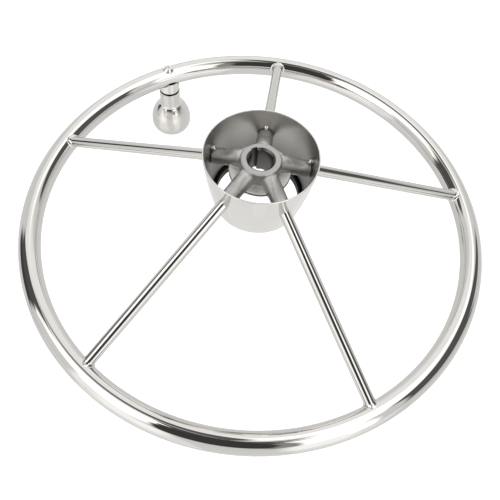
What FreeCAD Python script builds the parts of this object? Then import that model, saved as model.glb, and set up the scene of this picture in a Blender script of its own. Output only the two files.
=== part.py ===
"""Stainless five-spoke boat steering wheel with a turning knob on its rim.

The wheel lies back side up, as it is seen from the helm's dash. The origin is the centre of the
taper bore's mouth on the back face of the hub boss, and +Z runs out of that mouth along the helm
shaft, away from the person steering. The rim hangs below the hub, and the knob below the rim.
"""
import FreeCAD, Part
import Sketcher
import math
import os

Vector = FreeCAD.Vector
Rotation = FreeCAD.Rotation

# Driving sizes in millimetres and degrees
SIZES = {
    # Rim
    "rim_outer_diameter": 394,
    "tube_diameter": 18,
    "tube_wall": 1.5,
    "rim_depth": 88.5,
    # Spokes
    "spoke_diameter": 9,
    "spoke_height": 1.1,
    "first_spoke_angle": 16.15,
    "bead_leg": 1.6,
    "bead_length": 2.4,
    # Hub casting
    "boss_diameter": 31,
    "boss_length": 23,
    "boss_edge": 0.8,
    "boss_fillet": 1.5,
    "web_diameter": 48,
    "web_depth": 12.2,
    "web_thickness": 2.5,
    "arm_root_diameter": 13.6,
    "arm_end_diameter": 12.6,
    "arm_root_depth": 7.98,
    "arm_fillet": 1.2,
    "arm_top_depth": 1.5,
    "scoop_radius": 19,
    "scoop_depth": 1.2,
    "scoop_distance": 29,
    "arm_gap": 0.6,
    "socket_length": 13,
    "socket_clearance": 0.05,
    "bore_diameter": 19.05,
    "bore_taper_ratio": 12,
    "mouth_chamfer": 1.6,
    "keyway_width": 4.76,
    "keyway_depth": 2.4,
    "keyway_angle": 123,
    # Hub shell
    "shell_back_radius": 44.2,
    "shell_front_radius": 35,
    "shell_back_lip": 5.35,
    "shell_depth": 48.5,
    "shell_bulge": 0.9,
    "shell_wall": 1.2,
    "spoke_hole_clearance": 0.15,
    "tack_radius": 2.3,
    "tack_height": 2.1,
    "tack_inset": 1.25,
    # Cap seat ring in the shell's front
    "seat_ring_height": 7,
    "seat_ring_width": 2.2,
    "seat_ring_setback": 0.6,
    # Knob: fixed pieces on the rim
    "knob_angle": 122.1,
    "screw_diameter": 6,
    "screw_head_diameter": 10.4,
    "screw_head_height": 2.1,
    "screw_thread_depth": 9,
    "screw_socket_width": 4,
    "screw_socket_depth": 1.6,
    "screw_clearance": 0.25,
    "thread_clearance": 0.05,
    "pad_thickness": 0.5,
    "collar_diameter": 20,
    "collar_height": 6.6,
    "saddle_depth": 6.5,
    "spindle_diameter": 9,
    "spindle_tail": 3,
    "washer_diameter": 15,
    "washer_thickness": 1,
    "clip_diameter": 12.5,
    "clip_thickness": 1,
    "clip_opening": 5,
    "clip_groove_depth": 0.6,
    # Knob: turning pieces
    "bush_flange_thickness": 2.4,
    "bush_wall": 1.5,
    "bush_length": 12,
    "lower_flange_diameter": 15,
    "lower_flange_thickness": 1.5,
    "neck_diameter": 20,
    "neck_length": 15.7,
    "flare_diameter": 23.8,
    "flare_length": 19.7,
    "flare_hollow": 0.7,
    "shoulder_bulge": 2.6,
    "bulb_diameter": 39.8,
    "bulb_length": 43.4,
    "foot_bulge": 1.7,
    "foot_diameter": 25.4,
    "grip_length": 53.6,
    "cavity_diameter": 18,
    "cavity_depth": 20,
    "plug_thickness": 3,
    # Clearances of the turning knob
    "running_clearance": 0.05,
    "face_clearance": 0.1,
}
SPOKE_NAMES = ["spoke_1", "spoke_2", "spoke_3", "spoke_4", "spoke_5"]
SPOKE_STEP = 360 / len(SPOKE_NAMES)

# Sizes that follow from the driving ones, as expressions on the sheet
TUBE_RADIUS = "dim.tube_diameter / 2"
RIM_RADIUS = "(dim.rim_outer_diameter - dim.tube_diameter) / 2"
SPOKE_RADIUS = "dim.spoke_diameter / 2"
BOSS_RADIUS = "dim.boss_diameter / 2"
BORE_RADIUS = "dim.bore_diameter / 2"
BORE_FALL = "dim.boss_length / dim.bore_taper_ratio / 2"
SHELL_SLOPE = (
    "((dim.shell_back_radius - dim.shell_front_radius)"
    " / (dim.shell_back_lip + dim.shell_depth))"
)
SPOKE_FOOT = "(dim.rim_depth - dim.spoke_height)"
SPOKE_FALL = f"(({SPOKE_FOOT} - dim.arm_root_depth) / ({RIM_RADIUS} - {BOSS_RADIUS}))"
SPOKE_SLOPE = f"atan({SPOKE_FALL})"
# Radius at which the spoke's axis passes through the inside of the shell's wall
INNER_RADIUS = (
    f"((dim.shell_front_radius + {SHELL_SLOPE} * (dim.shell_depth - {SPOKE_FOOT}"
    f" + {SPOKE_FALL} * {RIM_RADIUS})) / (1 + {SHELL_SLOPE} * {SPOKE_FALL})"
    " + dim.shell_bulge - dim.shell_wall)"
)
# Distances along the spoke's axis, from the rim tube's centre line inwards
SHELL_OUTSIDE = f"(({RIM_RADIUS} - dim.shell_back_radius) / cos({SPOKE_SLOPE}))"
ARM_END = f"(({RIM_RADIUS} - {INNER_RADIUS} + dim.arm_gap) / cos({SPOKE_SLOPE}))"
ARM_ROOT = f"(({RIM_RADIUS} - {BOSS_RADIUS}) / cos({SPOKE_SLOPE}))"
BOSS_MIDDLE = f"({RIM_RADIUS} / cos({SPOKE_SLOPE}))"
SPOKE_END = f"({ARM_END} + dim.socket_length)"
# Depth of the spoke's axis there, and of a tack bead's middle by the shell above the arm's end
INNER_DEPTH = f"({SPOKE_FOOT} - {SPOKE_FALL} * ({RIM_RADIUS} - {INNER_RADIUS}))"
TACK_DEPTH = (
    f"({INNER_DEPTH} - (dim.arm_end_diameter / 2 / cos({SPOKE_SLOPE}) + dim.tack_height"
    f" + {SPOKE_FALL} * dim.tack_inset) / (1 + {SPOKE_FALL} * {SHELL_SLOPE}))"
)
# Depths along the knob's axis, from the rim tube's centre
COLLAR_FOOT = f"({TUBE_RADIUS} + dim.collar_height)"
FLANGE_TOP = f"({COLLAR_FOOT} + dim.face_clearance)"
GRIP_TOP = f"({FLANGE_TOP} + dim.bush_flange_thickness)"
GRIP_FOOT = f"({GRIP_TOP} + dim.grip_length)"
CAVITY_ROOF = f"({GRIP_FOOT} - dim.cavity_depth)"
LOWER_FLANGE_FOOT = f"({CAVITY_ROOF} + dim.lower_flange_thickness)"
WASHER_TOP = f"({LOWER_FLANGE_FOOT} + dim.face_clearance)"
CLIP_TOP = f"({WASHER_TOP} + dim.washer_thickness)"
CLIP_FOOT = f"({CLIP_TOP} + dim.clip_thickness)"
SPINDLE_FOOT = f"({CLIP_FOOT} + dim.spindle_tail)"
SPINDLE_RADIUS = "dim.spindle_diameter / 2"
BUSH_BORE_RADIUS = f"({SPINDLE_RADIUS} + dim.running_clearance)"
BUSH_RADIUS = f"({SPINDLE_RADIUS} + dim.bush_wall)"
PAD_RADIUS = f"({TUBE_RADIUS} + dim.pad_thickness)"
SCREW_FOOT = f"({PAD_RADIUS} + dim.screw_thread_depth)"
SADDLE_TOP = f"({PAD_RADIUS} - dim.saddle_depth)"

doc = FreeCAD.newDocument("steering_wheel")
sheet = doc.addObject("Spreadsheet::Sheet", "dim")
for row, (alias, number) in enumerate(SIZES.items(), start=1):
    sheet.set(f"A{row}", alias)
    sheet.set(f"B{row}", str(number))
    sheet.setAlias(f"B{row}", alias)
doc.recompute()


def value_of(expression):
    """Return the number that an expression on the sheet gives now."""
    result = sheet.evalExpression(expression.replace("dim.", ""))
    return float(getattr(result, "Value", result))


def new_body(label):
    """Return a new body whose label is the sub-part's name."""
    body = doc.addObject("PartDesign::Body", label)
    body.Label = label
    return body


def origin_feature(body, role):
    """Return one plane or axis of a body's own origin."""
    return [item for item in body.Origin.OriginFeatures if item.Role == role][0]


def new_sketch(body, name, plane="XZ_Plane", shift=None, turn=None, around=None):
    """Return a sketch on a plane of the body, shifted and turned in it or turned about its up."""
    sketch = body.newObject("Sketcher::SketchObject", name)
    sketch.AttachmentSupport = (origin_feature(body, plane), "")
    sketch.MapMode = "FlatFace"
    if turn is not None:
        turned = Rotation(Vector(0, 0, 1), value_of(turn))
        sketch.AttachmentOffset = FreeCAD.Placement(Vector(0, 0, 0), turned)
        sketch.setExpression("AttachmentOffset.Rotation.Angle", turn)
    if around is not None:
        turned = Rotation(Vector(0, 1, 0), value_of(around))
        sketch.AttachmentOffset = FreeCAD.Placement(Vector(0, 0, 0), turned)
        sketch.setExpression("AttachmentOffset.Rotation.Angle", around)
    if shift is not None:
        sketch.setExpression("AttachmentOffset.Base.x", shift[0])
        sketch.setExpression("AttachmentOffset.Base.y", shift[1])
    doc.recompute()
    return sketch


def pin_point(sketch, geometry, end, across, up):
    """Hold one point of a sketch element at a place given by two expressions."""
    for kind, expression in (("DistanceX", across), ("DistanceY", up)):
        held = Sketcher.Constraint(kind, -1, 1, geometry, end, value_of(expression))
        index = sketch.addConstraint(held)
        sketch.setExpression(f"Constraints[{index}]", expression)


def hold_radius(sketch, geometry, radius):
    """Bind a circle's or an arc's radius to an expression."""
    index = sketch.addConstraint(Sketcher.Constraint("Radius", geometry, value_of(radius)))
    sketch.setExpression(f"Constraints[{index}]", radius)


def arc_between(start, finish, bulge):
    """Return the arc from start to finish that rises by bulge to the left of the way."""
    chord = finish - start
    radius = (chord.Length ** 2 / 4 + bulge ** 2) / (2 * abs(bulge))
    left = Vector(-chord.y, chord.x, 0).normalize()
    centre = (start + finish) / 2 + left * (bulge - math.copysign(radius, bulge))
    ends = (finish, start) if bulge > 0 else (start, finish)
    angles = [math.atan2(end.y - centre.y, end.x - centre.x) for end in ends]
    if angles[1] < angles[0]:
        angles[1] += 2 * math.pi
    circle = Part.Circle(centre, Vector(0, 0, 1), radius)
    return Part.ArcOfCircle(circle, angles[0], angles[1])


def add_outline(sketch, corners):
    """Draw a closed outline through corners, each (across, up) or (across, up, bulge).

    A bulge makes an arc from its corner to the next one. The arc rises by that much from its
    chord, to the left of the way along the outline where the bulge is positive.
    """
    first = sketch.GeometryCount
    ends = []
    for index, corner in enumerate(corners):
        after = corners[(index + 1) % len(corners)]
        start = Vector(value_of(corner[0]), value_of(corner[1]), 0)
        finish = Vector(value_of(after[0]), value_of(after[1]), 0)
        if len(corner) == 3:
            bulge = value_of(corner[2])
            sketch.addGeometry(arc_between(start, finish, bulge), False)
            ends.append((2, 1) if bulge > 0 else (1, 2))
            chord = f"(pow({after[0]} - ({corner[0]}); 2) + pow({after[1]} - ({corner[1]}); 2))"
            bend = f"({chord} / 4 + pow({corner[2]}; 2)) / (2 * abs({corner[2]}))"
            hold_radius(sketch, first + index, bend)
        else:
            sketch.addGeometry(Part.LineSegment(start, finish), False)
            ends.append((1, 2))
    for index, corner in enumerate(corners):
        following = (index + 1) % len(corners)
        pin_point(sketch, first + index, ends[index][0], corner[0], corner[1])
        meeting = (first + index, ends[index][1], first + following, ends[following][0])
        sketch.addConstraint(Sketcher.Constraint("Coincident", *meeting))


def add_circle(sketch, across, up, radius):
    """Draw a circle whose centre and radius are bound to the sheet."""
    centre = Vector(value_of(across), value_of(up), 0)
    index = sketch.addGeometry(Part.Circle(centre, Vector(0, 0, 1), value_of(radius)), False)
    pin_point(sketch, index, 3, across, up)
    hold_radius(sketch, index, radius)


def add_upright_axis(sketch, across):
    """Draw an upright construction line for a feature to turn about, and return its name."""
    start = Vector(value_of(across), 0, 0)
    finish = start + Vector(0, value_of(TUBE_RADIUS), 0)
    index = sketch.addGeometry(Part.LineSegment(start, finish), True)
    pin_point(sketch, index, 1, across, "0")
    pin_point(sketch, index, 2, across, TUBE_RADIUS)
    return "Axis0"


def turn_solid(body, sketch, axis="V_Axis"):
    """Add the solid that a sketch sweeps in a full turn."""
    feature = body.newObject("PartDesign::Revolution", sketch.Name + "_turned")
    feature.Profile = sketch
    feature.ReferenceAxis = (sketch, [axis])
    feature.Angle = 360
    body.Tip = feature
    doc.recompute()
    return feature


def require_cut(body, before, feature):
    """Stop the build if a cut took no material away."""
    if not body.Shape.Volume < before - 1e-6:
        raise RuntimeError(f"{feature.Name} cut nothing from {body.Label}")


def turn_cut(body, sketch, axis="V_Axis"):
    """Cut away what a sketch sweeps in a full turn."""
    before = body.Shape.Volume
    feature = body.newObject("PartDesign::Groove", sketch.Name + "_cut")
    feature.Profile = sketch
    feature.ReferenceAxis = (sketch, [axis])
    feature.Angle = 360
    body.Tip = feature
    doc.recompute()
    require_cut(body, before, feature)
    return feature


def cut_through(body, sketch):
    """Cut a sketch right through the body, both ways."""
    before = body.Shape.Volume
    feature = body.newObject("PartDesign::Pocket", sketch.Name + "_cut")
    feature.Profile = sketch
    feature.Type = "ThroughAll"
    feature.Midplane = True
    body.Tip = feature
    doc.recompute()
    require_cut(body, before, feature)
    return feature


def cut_band(body, sketch, width):
    """Cut a sketch into the body by half a width to each side of the sketch's plane."""
    before = body.Shape.Volume
    feature = body.newObject("PartDesign::Pocket", sketch.Name + "_cut")
    feature.Profile = sketch
    feature.Midplane = True
    feature.setExpression("Length", width)
    body.Tip = feature
    doc.recompute()
    require_cut(body, before, feature)
    return feature


def cut_upwards(body, sketch):
    """Cut a sketch into the body along +Z, from the sketch's plane outwards."""
    before = body.Shape.Volume
    feature = body.newObject("PartDesign::Pocket", sketch.Name + "_cut")
    feature.Profile = sketch
    feature.Type = "ThroughAll"
    feature.Reversed = True
    body.Tip = feature
    doc.recompute()
    require_cut(body, before, feature)
    return feature


def repeat_round(body, feature, name):
    """Repeat a feature once for each spoke about the wheel's axis."""
    pattern = body.newObject("PartDesign::PolarPattern", name)
    pattern.Originals = [feature]
    pattern.Axis = (origin_feature(body, "Z_Axis"), [""])
    pattern.Angle = 360
    pattern.Occurrences = len(SPOKE_NAMES)
    body.Tip = pattern
    doc.recompute()
    return pattern


def spoke_sketch(body, name):
    """Return a sketch whose X axis is the spoke's axis, from the rim tube's centre inwards."""
    shift = (RIM_RADIUS, f"-{SPOKE_FOOT}")
    return new_sketch(body, name, shift=shift, turn=f"180 deg - {SPOKE_SLOPE}")


def place_round(item, angle):
    """Turn a sub-part about the wheel's axis to its own angle."""
    item.Placement = FreeCAD.Placement(Vector(0, 0, 0), Rotation(Vector(0, 0, 1), value_of(angle)))
    item.setExpression("Placement.Rotation.Angle", angle)


def place_on_knob_axis(item):
    """Put a piece of the knob, modelled about its own axis, under the rim."""
    place_round(item, "dim.knob_angle")
    item.setExpression("Placement.Base.x", f"{RIM_RADIUS} * cos(dim.knob_angle)")
    item.setExpression("Placement.Base.y", f"{RIM_RADIUS} * sin(dim.knob_angle)")
    item.setExpression("Placement.Base.z", "-dim.rim_depth")


def cut_by_tube(body, name, radius):
    """Cut the seat of the rim tube, or of a layer round it, into a piece on the knob's axis."""
    sketch = new_sketch(body, name)
    axis = add_upright_axis(sketch, f"-({RIM_RADIUS})")
    add_circle(sketch, "0", "0", radius)
    return turn_cut(body, sketch, axis)


def trim_to_shell(body, name, gap):
    """Cut away whatever lies nearer to the shell's inside than a gap, or outside it."""
    sketch = new_sketch(body, name)
    reach = "(dim.shell_back_radius + dim.arm_end_diameter)"
    add_outline(sketch, [
        (f"dim.shell_front_radius - dim.shell_wall - {gap}", "-dim.shell_depth",
         "-dim.shell_bulge"),
        (f"dim.shell_back_radius - dim.shell_wall - {gap}", "dim.shell_back_lip"),
        (reach, "dim.shell_back_lip"),
        (reach, "-dim.shell_depth"),
    ])
    return turn_cut(body, sketch)


def ring_outline(sketch, inner_radius, outer_radius, top, foot):
    """Draw the square section of a ring on the knob's axis, its heights as depths."""
    add_outline(sketch, [
        (inner_radius, f"-({foot})"),
        (outer_radius, f"-({foot})"),
        (outer_radius, f"-({top})"),
        (inner_radius, f"-({top})"),
    ])


def make_rim():
    """Rim: one tube bent to a ring, with a hole right through it for the knob's screw."""
    body = new_body("rim")
    section = new_sketch(body, "rim_section")
    add_circle(section, RIM_RADIUS, "-dim.rim_depth", TUBE_RADIUS)
    add_circle(section, RIM_RADIUS, "-dim.rim_depth", f"{TUBE_RADIUS} - dim.tube_wall")
    turn_solid(body, section)
    hole = new_sketch(body, "rim_screw_hole", "XY_Plane")
    add_circle(
        hole, f"{RIM_RADIUS} * cos(dim.knob_angle)", f"{RIM_RADIUS} * sin(dim.knob_angle)",
        "dim.screw_diameter / 2 + dim.screw_clearance")
    cut_through(body, hole)
    return body


def make_spoke(label, angle):
    """Spoke: a rod that ends in an arm's socket, with a saddle and weld bead at the rim."""
    body = new_body(label)
    half = spoke_sketch(body, label + "_section")
    add_outline(half, [
        ("0", "0"),
        ("0", f"{SPOKE_RADIUS} + dim.bead_leg"),
        (TUBE_RADIUS, f"{SPOKE_RADIUS} + dim.bead_leg"),
        (f"{TUBE_RADIUS} + dim.bead_length", SPOKE_RADIUS),
        (SPOKE_END, SPOKE_RADIUS),
        (SPOKE_END, "0"),
    ])
    turn_solid(body, half, "H_Axis")
    saddle = new_sketch(body, label + "_saddle")
    add_circle(saddle, RIM_RADIUS, "-dim.rim_depth", TUBE_RADIUS)
    turn_cut(body, saddle)
    place_round(body, angle)
    return body


def make_spider():
    """Hub casting: boss with taper bore and keyway, web disc and five socketed arms."""
    body = new_body("hub_spider")
    core = new_sketch(body, "spider_core")
    web_foot = "-(dim.web_depth + dim.web_thickness)"
    add_outline(core, [
        ("0", "0"),
        (f"{BOSS_RADIUS} - dim.boss_edge", "0"),
        (BOSS_RADIUS, "-dim.boss_edge"),
        (BOSS_RADIUS, "-(dim.web_depth - dim.boss_fillet)"),
        (f"{BOSS_RADIUS} + dim.boss_fillet", "-dim.web_depth"),
        ("dim.web_diameter / 2 - dim.boss_edge", "-dim.web_depth"),
        ("dim.web_diameter / 2", "-(dim.web_depth + dim.boss_edge)"),
        ("dim.web_diameter / 2", web_foot),
        (f"{BOSS_RADIUS} + dim.boss_fillet", web_foot),
        (BOSS_RADIUS, f"{web_foot} - dim.boss_fillet"),
        (BOSS_RADIUS, "-(dim.boss_length - dim.boss_edge)"),
        (f"{BOSS_RADIUS} - dim.boss_edge", "-dim.boss_length"),
        ("0", "-dim.boss_length"),
    ])
    turn_solid(body, core)
    arm = spoke_sketch(body, "spider_arm")
    add_outline(arm, [
        (SHELL_OUTSIDE, "0"),
        (SHELL_OUTSIDE, "dim.arm_end_diameter / 2"),
        (f"{ARM_ROOT} - dim.arm_fillet", "dim.arm_root_diameter / 2", "-dim.arm_fillet / 4"),
        (ARM_ROOT, "dim.arm_root_diameter / 2 + dim.arm_fillet"),
        (BOSS_MIDDLE, "dim.arm_root_diameter / 2 + dim.arm_fillet"),
        (BOSS_MIDDLE, "0"),
    ])
    repeat_round(body, turn_solid(body, arm, "H_Axis"), "spider_arms")
    tops = new_sketch(body, "spider_arm_tops")
    add_outline(tops, [
        ("0", "0"),
        (f"{BOSS_RADIUS} - dim.boss_edge", "0"),
        (BOSS_RADIUS, "-dim.boss_edge"),
        (BOSS_RADIUS, "-dim.arm_top_depth"),
        ("dim.shell_back_radius", "-dim.arm_top_depth"),
        ("dim.shell_back_radius", "dim.arm_root_diameter"),
        ("0", "dim.arm_root_diameter"),
    ])
    turn_cut(body, tops)
    scoop = spoke_sketch(body, "spider_scoop")
    add_circle(
        scoop, f"({RIM_RADIUS} - dim.scoop_distance) / cos({SPOKE_SLOPE})",
        "-(dim.arm_end_diameter / 2 - dim.scoop_depth + dim.scoop_radius)", "dim.scoop_radius")
    repeat_round(body, cut_through(body, scoop), "spider_scoops")
    trim_to_shell(body, "spider_arm_trim", "dim.arm_gap")
    socket = spoke_sketch(body, "spider_socket")
    socket_radius = f"{SPOKE_RADIUS} + dim.socket_clearance"
    socket_floor = f"{SPOKE_END} + dim.socket_clearance"
    add_outline(socket, [
        (SHELL_OUTSIDE, "0"),
        (SHELL_OUTSIDE, socket_radius),
        (socket_floor, socket_radius),
        (socket_floor, "0"),
    ])
    repeat_round(body, turn_cut(body, socket, "H_Axis"), "spider_sockets")
    bore = new_sketch(body, "spider_bore")
    mouth_radius = f"{BORE_RADIUS} - dim.mouth_chamfer / dim.bore_taper_ratio / 2"
    add_outline(bore, [
        ("0", "0"),
        (f"{BORE_RADIUS} + dim.mouth_chamfer", "0"),
        (mouth_radius, "-dim.mouth_chamfer"),
        (f"{BORE_RADIUS} - {BORE_FALL}", "-dim.boss_length"),
        ("0", "-dim.boss_length"),
    ])
    turn_cut(body, bore)
    around = "dim.keyway_angle - dim.first_spoke_angle"
    keyway = new_sketch(body, "spider_keyway", around=around)
    add_outline(keyway, [
        ("0", "0"),
        (f"{BORE_RADIUS} + dim.keyway_depth", "0"),
        (f"{BORE_RADIUS} + dim.keyway_depth - {BORE_FALL}", "-dim.boss_length"),
        ("0", "-dim.boss_length"),
    ])
    cut_band(body, keyway, "dim.keyway_width")
    place_round(body, "dim.first_spoke_angle")
    return body


def make_shell():
    """Hub shell: a thin spun cone, slightly bowed, with a round hole for each spoke."""
    body = new_body("hub_shell")
    wall = new_sketch(body, "shell_wall_section")
    add_outline(wall, [
        ("dim.shell_front_radius", "-dim.shell_depth", "-dim.shell_bulge"),
        ("dim.shell_back_radius", "dim.shell_back_lip"),
        ("dim.shell_back_radius - dim.shell_wall", "dim.shell_back_lip", "dim.shell_bulge"),
        ("dim.shell_front_radius - dim.shell_wall", "-dim.shell_depth"),
    ])
    turn_solid(body, wall)
    hole = spoke_sketch(body, "shell_spoke_hole")
    hole_radius = f"{SPOKE_RADIUS} + dim.spoke_hole_clearance"
    add_outline(hole, [
        (SHELL_OUTSIDE, "0"),
        (SHELL_OUTSIDE, hole_radius),
        (SPOKE_END, hole_radius),
        (SPOKE_END, "0"),
    ])
    repeat_round(body, turn_cut(body, hole, "H_Axis"), "shell_spoke_holes")
    place_round(body, "dim.first_spoke_angle")
    return body


def make_seat_ring():
    """Cap seat ring: a black band inside the shell's front that the centre cap snaps into."""
    body = new_body("cap_seat_ring")
    band = new_sketch(body, "seat_ring_section")
    foot_rise = "dim.seat_ring_setback"
    head_rise = "(dim.seat_ring_setback + dim.seat_ring_height)"
    wall = "(dim.shell_front_radius - dim.shell_wall)"
    foot_radius = f"({wall} + {SHELL_SLOPE} * {foot_rise})"
    head_radius = f"({wall} + {SHELL_SLOPE} * {head_rise})"
    foot = f"-(dim.shell_depth - {foot_rise})"
    head = f"-(dim.shell_depth - {head_rise})"
    add_outline(band, [
        (f"{foot_radius} - dim.seat_ring_width / 2", foot),
        (foot_radius, foot),
        (head_radius, head),
        (f"{head_radius} - dim.seat_ring_width", head),
    ])
    turn_solid(body, band)
    return body


def make_tack_bead(name, angle):
    """Tack bead: a ball of weld cut back to the inside of the shell and the arm's surface."""
    body = new_body(name)
    rise = f"((dim.shell_depth - {TACK_DEPTH}) / (dim.shell_depth + dim.shell_back_lip))"
    chord = f"(dim.shell_front_radius + (dim.shell_back_radius - dim.shell_front_radius) * {rise})"
    bow = f"(4 * dim.shell_bulge * {rise} * (1 - {rise}))"
    seat = f"({chord} + {bow} - dim.shell_wall - dim.tack_inset)"
    ball = new_sketch(body, name + "_ball")
    axis = add_upright_axis(ball, seat)
    quarter = "dim.tack_radius * (1 - sqrt(0.5))"
    add_outline(ball, [
        (seat, f"-({TACK_DEPTH} - dim.tack_radius)", quarter),
        (f"{seat} + dim.tack_radius", f"-{TACK_DEPTH}", quarter),
        (seat, f"-({TACK_DEPTH} + dim.tack_radius)"),
    ])
    turn_solid(body, ball, axis)
    trim_to_shell(body, name + "_shell_side", "0")
    arm = spoke_sketch(body, name + "_arm_side")
    add_outline(arm, [
        (SHELL_OUTSIDE, "0"),
        (SHELL_OUTSIDE, "dim.arm_end_diameter / 2"),
        (f"{ARM_ROOT} - dim.arm_fillet", "dim.arm_root_diameter / 2"),
        (f"{ARM_ROOT} - dim.arm_fillet", "0"),
    ])
    turn_cut(body, arm, "H_Axis")
    place_round(body, angle)
    return body


def make_tack_welds():
    """Tack welds: a bead on the end of each arm that holds the shell to the casting."""
    group = doc.addObject("Part::Compound", "shell_tack_welds")
    group.Label = "shell_tack_welds"
    group.Links = [
        make_tack_bead(f"tack_bead_{index + 1}", f"dim.first_spoke_angle + {index * SPOKE_STEP}")
        for index in range(len(SPOKE_NAMES))
    ]
    doc.recompute()
    return group


def make_screw():
    """Knob screw: a domed socket head seated on the rim's back and a shank through the tube."""
    body = new_body("knob_screw")
    dome = new_sketch(body, "screw_dome")
    head_radius = "dim.screw_head_diameter / 2"
    add_outline(dome, [
        ("0", f"{TUBE_RADIUS} / 2"),
        (head_radius, f"{TUBE_RADIUS} / 2"),
        (head_radius, TUBE_RADIUS, "-dim.screw_head_height / 4"),
        ("0", f"{TUBE_RADIUS} + dim.screw_head_height"),
    ])
    turn_solid(body, dome)
    cut_by_tube(body, "screw_seat", TUBE_RADIUS)
    shank = new_sketch(body, "screw_shank")
    ring_outline(
        shank, "0", "dim.screw_diameter / 2",
        f"-({TUBE_RADIUS} + dim.screw_head_height / 2)", SCREW_FOOT)
    turn_solid(body, shank)
    key = new_sketch(body, "screw_key_socket", "XY_Plane")
    key.setExpression(
        "AttachmentOffset.Base.z",
        f"{TUBE_RADIUS} + dim.screw_head_height - dim.screw_socket_depth")
    corner = "dim.screw_socket_width / sqrt(3)"
    add_outline(key, [
        (f"{corner} * cos({60 * index})", f"{corner} * sin({60 * index})") for index in range(6)])
    cut_upwards(body, key)
    place_on_knob_axis(body)
    return body


def make_pad():
    """Saddle pad: a thin black layer between the rim tube and the knob's collar."""
    parts = []
    disc = doc.addObject("Part::Cylinder", "pad_disc")
    disc.setExpression("Radius", "dim.collar_diameter / 2")
    disc.setExpression("Height", PAD_RADIUS)
    disc.setExpression("Placement.Base.z", f"-{SADDLE_TOP} - {PAD_RADIUS}")
    for name, radius in (("pad_outside", PAD_RADIUS), ("pad_inside", TUBE_RADIUS)):
        ring = doc.addObject("Part::Torus", name)
        ring.setExpression("Radius1", RIM_RADIUS)
        ring.setExpression("Radius2", radius)
        ring.setExpression("Placement.Base.x", f"-({RIM_RADIUS})")
        parts.append(ring)
    layer = doc.addObject("Part::Common", "pad_layer")
    layer.Base = disc
    layer.Tool = parts[0]
    curved = doc.addObject("Part::Cut", "pad_curved")
    curved.Base = layer
    curved.Tool = parts[1]
    hole = doc.addObject("Part::Cylinder", "pad_hole")
    hole.setExpression("Radius", "dim.screw_diameter / 2 + dim.screw_clearance")
    hole.setExpression("Height", f"2 * {PAD_RADIUS}")
    hole.setExpression("Placement.Base.z", f"-2 * {PAD_RADIUS}")
    pad = doc.addObject("Part::Cut", "knob_saddle_pad")
    pad.Label = "knob_saddle_pad"
    pad.Base = curved
    pad.Tool = hole
    place_on_knob_axis(pad)
    doc.recompute()
    return pad


def make_spindle():
    """Knob spindle: a turned collar with a saddle for the rim and the shaft the knob turns on."""
    body = new_body("knob_spindle")
    half = new_sketch(body, "spindle_section")
    collar_radius = "dim.collar_diameter / 2"
    groove_radius = f"{SPINDLE_RADIUS} - dim.clip_groove_depth"
    add_outline(half, [
        ("0", f"-{SADDLE_TOP}"),
        (collar_radius, f"-{SADDLE_TOP}"),
        (collar_radius, f"-{COLLAR_FOOT}"),
        (SPINDLE_RADIUS, f"-{COLLAR_FOOT}"),
        (SPINDLE_RADIUS, f"-{CLIP_TOP}"),
        (groove_radius, f"-{CLIP_TOP}"),
        (groove_radius, f"-{CLIP_FOOT}"),
        (SPINDLE_RADIUS, f"-{CLIP_FOOT}"),
        (SPINDLE_RADIUS, f"-({SPINDLE_FOOT} - dim.clip_groove_depth)"),
        (groove_radius, f"-{SPINDLE_FOOT}"),
        ("0", f"-{SPINDLE_FOOT}"),
    ])
    turn_solid(body, half)
    cut_by_tube(body, "spindle_saddle", PAD_RADIUS)
    thread = new_sketch(body, "spindle_thread")
    ring_outline(
        thread, "0", "dim.screw_diameter / 2 + dim.thread_clearance",
        f"{SADDLE_TOP} / 2", f"{SCREW_FOOT} + dim.screw_clearance")
    turn_cut(body, thread)
    place_on_knob_axis(body)
    return body


def make_upper_bush():
    """Upper bush: a black flanged bearing, its flange seen as a ring above the grip."""
    body = new_body("knob_upper_bush")
    half = new_sketch(body, "upper_bush_section")
    add_outline(half, [
        (BUSH_BORE_RADIUS, f"-{FLANGE_TOP}"),
        ("dim.collar_diameter / 2", f"-{FLANGE_TOP}"),
        ("dim.collar_diameter / 2", f"-{GRIP_TOP}"),
        (BUSH_RADIUS, f"-{GRIP_TOP}"),
        (BUSH_RADIUS, f"-({GRIP_TOP} + dim.bush_length)"),
        (BUSH_BORE_RADIUS, f"-({GRIP_TOP} + dim.bush_length)"),
    ])
    turn_solid(body, half)
    place_on_knob_axis(body)
    return body


def make_grip():
    """Grip: a turned pear-shaped knob, bored for its bushes and hollow below."""
    body = new_body("knob_grip")
    half = new_sketch(body, "grip_section")
    add_outline(half, [
        (BUSH_RADIUS, f"-{GRIP_TOP}"),
        ("dim.neck_diameter / 2", f"-{GRIP_TOP}"),
        ("dim.neck_diameter / 2", f"-({GRIP_TOP} + dim.neck_length)", "-dim.flare_hollow"),
        ("dim.flare_diameter / 2", f"-({GRIP_TOP} + dim.flare_length)", "dim.shoulder_bulge"),
        ("dim.bulb_diameter / 2", f"-({GRIP_TOP} + dim.bulb_length)", "dim.foot_bulge"),
        ("dim.foot_diameter / 2", f"-{GRIP_FOOT}"),
        ("dim.cavity_diameter / 2", f"-{GRIP_FOOT}"),
        ("dim.cavity_diameter / 2", f"-{CAVITY_ROOF}"),
        (BUSH_RADIUS, f"-{CAVITY_ROOF}"),
    ])
    turn_solid(body, half)
    place_on_knob_axis(body)
    return body


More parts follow.
